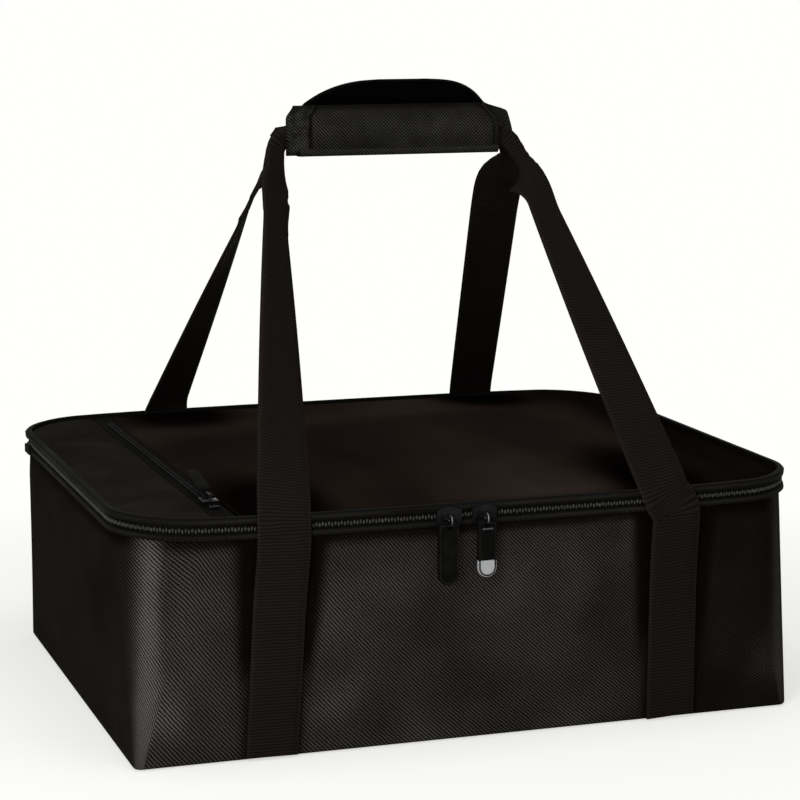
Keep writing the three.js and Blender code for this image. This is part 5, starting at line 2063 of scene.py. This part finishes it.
    def dome_rim(self) -> None:
        """Bound edge round the raised top."""
        x, z = self.dome_outline(1.0 * MM).T
        rim = tube("grip_pad_rim", spots(x, self.inside + 1.0 * MM, z), 1.1 * MM)
        dress(rim, TAPE_CLOTH, Body.BACK_HANDLE)

    def lining(self) -> None:
        """Near-black sheet over the raised top's inner face, standing in for its shade."""
        z = np.linspace(self.flap_top - 6 * MM, self.pad_top - 1.2 * MM, 16)
        left, right = self.dome(z + 1 * MM)
        x = mix((left + 1.6 * MM)[:, None], (right - 1.6 * MM)[:, None], np.linspace(0, 1, 40))
        low = spots(x, self.inside - 0.05 * MM, z[:, None])
        piece = sheet("grip_pad_lining", low, low + 0.2 * MM * FRONT, low[..., [0, 2]])
        dress(piece, SHADE_LINING, Body.BACK_HANDLE)

    def loop_strip(self) -> None:
        """Loop strip on the inner face of the raised top, cut to its shape."""
        low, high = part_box("grip_loop_strip")
        z = np.linspace(low.z, high.z, 10)
        left, right = self.dome(z + 1.5 * MM)
        left, right = np.maximum(left + 3.5 * MM, low.x), np.minimum(right - 3.5 * MM, high.x)
        x = mix(left[:, None], right[:, None], np.linspace(0, 1, 40))
        back = spots(x, high.y - 0.02 * MM, z[:, None])
        fuzz = (0.62 + 0.08 * ripple(back, 0.002, 1.0))[..., None] * MM * FRONT
        piece = sheet("grip_loop_pile", back, back + fuzz, back[..., [0, 2]])
        dress(piece, PILE, Body.BACK_HANDLE, ["grip_loop_strip"])

    def fold(self) -> None:
        """Cloth under the grip that joins pad and flap, turned up over the flap's lower edge."""
        flat, bend = 2.3 * MM - self.inside - self.wall, 2.3 * MM
        y = np.linspace(2 * MM, flat, 22)
        turn = np.radians(np.linspace(8, 150, 16))
        rise = 0.7 * MM * smooth(y, -1 * MM, 2 * MM)
        course = np.vstack([spots(y, rise), spots(flat - bend * np.sin(turn), bend - bend * np.cos(turn))])
        slope = np.gradient(course, axis=0)
        out = unit(spots(-slope[:, 1], slope[:, 0]))
        x = np.linspace(self.middle - self.half + 7.5 * MM, self.middle + self.half - 5.5 * MM, 60)

        def layer(depth: float) -> Points:
            """The fold's course, moved out by a depth, along the whole grip."""
            moved = course + depth * out
            return spots(x[:, None], moved[:, 0], moved[:, 1] + self.bottom - 0.2 * MM)

        piece = sheet("grip_fold", layer(0.25 * MM), layer(-0.15 * MM), layer(0)[..., :2])
        near, far = (0, -self.inside + 0.5 * MM, self.bottom), (0, -self.inside - self.wall + 1.5 * MM, self.bottom)
        dress(piece, GRIP_TWILL, (Body.BACK_HANDLE, Body.FLAP, near, far))

    def piping(self) -> None:
        """Thin bound edge down the flap's rounded right end."""
        z = np.linspace(self.bottom + 1.5 * MM, self.flap_top - 0.6 * MM, 30)
        path = spots(self.ends(z)[1] - 0.2 * MM, -self.inside - 3.2 * MM, z)
        dress(tube("grip_flap_piping", path, 0.75 * MM), BAND_CLOTH, Body.FLAP)

    def seams(self) -> None:
        """Stitches of the flap's left end band."""
        z = np.linspace(self.bottom + 2.5 * MM, self.flap_top - 3 * MM, 20)
        left, y = self.ends(z)[0], -self.inside - self.wall + 0.2 * MM
        paths = [(spots(left + inwards, y, z), FRONT) for inwards in (7.5 * MM, 15.6 * MM)]
        dress(STITCH.along("grip_flap_stitches", paths, THREAD), THREAD, Body.FLAP)

    def build(self) -> None:
        """Makes and dresses the grip's pieces."""
        for make in (self.flap, self.seams, self.fold, self.pad, self.dome_rim, self.lining, self.piping):
            make()
        dress_solid("grip_hook_pile", "grip_hook_strip", 0.25 * MM, PILE, Body.FLAP)
        self.loop_strip()


@dataclass
class Pull:
    """A main slider with its ring and hanging tab.

    Attributes:
        x: its place along the zip.
        aside: how far the tab hangs to the side of its slider.
        slider: the body of the slider.
        tab: the body of the ring and tab.
    """

    hand: str
    x: float
    width: float
    length: float
    aside: float
    slider: Body
    tab: Body

    def face(self) -> tuple[float, float, float]:
        """Y of the tab's front face, and its lowest and highest Z."""
        low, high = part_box("main_pull_" + self.hand)
        return low.y, high.z - self.length, high.z

    def border(self) -> Piece:
        """Raised edge round the tab's front.

        Returns:
            The piece.
        """
        y, low, high = self.face()
        r = self.width / 2 - 0.9 * MM
        bottom = low + self.width / 2
        angle = np.linspace(math.pi, 2 * math.pi, 20)
        arc = spots(self.x + r * np.cos(angle), y, bottom + r * np.sin(angle))
        top = high - 2.2 * MM
        line = np.vstack([[self.x - r, y, top], arc, [self.x + r, y, top]])
        return tube("pull_border_" + self.hand, self.dense(line), 0.45 * MM, joined=True)

    def clasp(self) -> Piece:
        """Bright bar across the tab's top.

        Returns:
            The piece.
        """
        y, _, high = self.face()
        reach = self.width / 2 - 2.4 * MM
        line = [[self.x + way * reach, y, high - 5.4 * MM] for way in (-1, 1)]
        return tube("pull_clasp_" + self.hand, np.array(line), 0.55 * MM)

    @staticmethod
    def dense(line: Points) -> Points:
        """A ring of points at even steps.

        Args:
            line: the ring's corners.

        Returns:
            The points.
        """
        ring = np.vstack([line, line[:1]])
        run = lengths_along(ring)
        at = np.linspace(0, run[-1], 90)[:-1]
        return np.stack([np.interp(at, run, ring[:, s]) for s in range(3)], 1)

    def build(self) -> None:
        """Makes and dresses the slider, ring and tab."""
        hand = self.hand
        hung, part_way = (Matrix.Translation((self.aside * share, 0, 0)) for share in (1.0, 0.35))
        dress_solid(f"slider_{hand}_metal", f"main_slider_{hand}", 0.35 * MM, METAL, self.slider)
        dress_solid(f"ring_{hand}_metal", f"main_pull_ring_{hand}", 0.01 * MM, BRIGHT_METAL, self.tab, 1, part_way)
        dress_solid(f"pull_{hand}_tab", f"main_pull_{hand}", 0.5 * MM, RUBBER, self.tab, 3, hung)
        trims = [(self.border(), RUBBER_FACE)] + ([(self.clasp(), BRIGHT_METAL)] if hand == "right" else [])
        for piece, finish in trims:
            piece.data.transform(hung)
            dress(piece, finish, self.tab)


@dataclass
class Studio:
    """Camera, lamps, floor and world."""

    camera_at: tuple[float, float, float] = (-0.4848, -1.4582, 0.4354)
    pitch: float = math.pi / 2 - 0.170
    yaw: float = -0.325
    lens: float = 112.8

    def camera(self) -> None:
        """Sets the camera at the photographed angle."""
        data = bpy.data.cameras.new("camera")
        data.lens, data.sensor_width = self.lens, 36
        camera = place("camera", data)
        camera.location, camera.rotation_euler = self.camera_at, (self.pitch, 0, self.yaw)
        bpy.context.scene.camera = camera

    def lamp(self, name: str, azimuth: float, elevation: float, distance: float, size: tuple[float, float],
             power: float) -> None:
        """Sets a soft lamp that faces the bag.

        Args:
            name: of the lamp.
            azimuth: degrees to the right of the front, seen from above.
            elevation: degrees above the bag's middle.
            distance: from the bag's middle.
            size: its width and height.
            power: in watts.
        """
        data = bpy.data.lights.new(name, "AREA")
        data.shape, (data.size, data.size_y), data.energy = "RECTANGLE", size, power
        lamp = place(name, data)
        a, e = math.radians(azimuth), math.radians(elevation)
        away = Vector((math.sin(a) * math.cos(e), -math.cos(a) * math.cos(e), math.sin(e)))
        lamp.location = Vector((0, 0, 0.12)) + away * distance
        lamp.rotation_euler = away.to_track_quat("Z", "Y").to_euler()

    @staticmethod
    def seen(n: Nodes) -> Socket:
        """1 for what the camera sees itself, in a reflection or through glass, and 0 for light.

        Args:
            n: the nodes of a material or world.

        Returns:
            That value.
        """
        rays = n.add("ShaderNodeLightPath").outputs
        others = n.math("MAXIMUM", rays["Is Glossy Ray"], rays["Is Transmission Ray"])
        return n.math("MAXIMUM", rays["Is Camera Ray"], others)

    def floor(self) -> None:
        """Pale floor that turns into the white background away from the bag."""
        x, y = np.array([-6, 6, 6, -6]), np.array([-6, -6, 6, 6])
        piece = make_object("floor", spots(x, y, -0.6 * MM), [[0, 1, 2, 3]])
        material = bpy.data.materials.new("Floor")
        material.use_nodes = True
        n = Nodes(material.node_tree)
        shader = material.node_tree.nodes["Principled BSDF"]
        looks = {"Base Color": (0.96, 0.96, 0.95, 1), "Roughness": 0.9, "Specular IOR Level": 0.0}
        for label, value in looks.items():
            shader.inputs[label].default_value = value
        where = n.add("ShaderNodeTexCoord").outputs["Object"]
        away = n.add("ShaderNodeVectorMath", {0: where}, operation="LENGTH").outputs["Value"]
        far = n.span(away, 0.25, 0.6, 0.6, 1.0)
        white = n.add("ShaderNodeEmission", {"Color": (1, 1, 0.985, 1), "Strength": 1.0})
        blend = n.add("ShaderNodeMixShader", {0: n.math("MULTIPLY", far, self.seen(n))})
        n.tree.links.new(shader.outputs[0], blend.inputs[1])
        n.tree.links.new(white.outputs[0], blend.inputs[2])
        n.tree.links.new(blend.outputs[0], material.node_tree.nodes["Material Output"].inputs[0])
        piece.data.materials.append(material)

    def world(self) -> None:
        """White to the camera and in reflections, dim as a light."""
        world = bpy.data.worlds.new("studio")
        bpy.context.scene.world = world
        world.use_nodes = True
        n = Nodes(world.node_tree)
        ground = world.node_tree.nodes["Background"]
        ground.inputs[0].default_value = (1, 1, 0.985, 1)
        n.feed(ground.inputs[1], n.span(self.seen(n), 0.0, 1.0, 0.3, 1.0))

    def build(self) -> None:
        """Sets up the whole studio."""
        self.camera()
        self.floor()
        self.world()
        self.lamp("key", -36, 20, 1.35, (0.4, 1.2), 11)
        self.lamp("fill", 30, 12, 2.2, (1.2, 1.2), 5)
        self.lamp("top", -10, 75, 1.6, (1.2, 1.0), 12)
        bpy.context.scene.view_settings.view_transform = "Standard"


def main() -> None:
    """Builds the bag piece by piece."""
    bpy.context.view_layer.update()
    Studio().build()
    Tub().build()
    MainZip().build()
    Lid().build()
    for side in (-1, 1):
        HandleLoop(side).build()
    Grip().build()
    Pull("left", -24.2 * MM, 12 * MM, 36 * MM, -2.0 * MM, Body.SLIDER_LEFT, Body.PULL_LEFT).build()
    Pull("right", -3.4 * MM, 11 * MM, 33 * MM, 0.0, Body.SLIDER_RIGHT, Body.PULL_RIGHT).build()
    dress_solid("pull_tip_right", "main_pull_tip_right", 0.5 * MM, TIP, Body.PULL_RIGHT, 3)
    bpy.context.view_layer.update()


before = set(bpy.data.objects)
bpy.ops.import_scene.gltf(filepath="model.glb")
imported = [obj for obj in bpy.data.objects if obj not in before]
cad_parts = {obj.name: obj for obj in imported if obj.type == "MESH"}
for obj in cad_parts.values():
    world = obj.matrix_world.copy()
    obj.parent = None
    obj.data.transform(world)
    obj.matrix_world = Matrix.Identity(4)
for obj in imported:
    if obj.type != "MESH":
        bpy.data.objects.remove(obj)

if __name__ == "__main__":
    logging.basicConfig(level=logging.INFO, format="%(message)s")
    main()
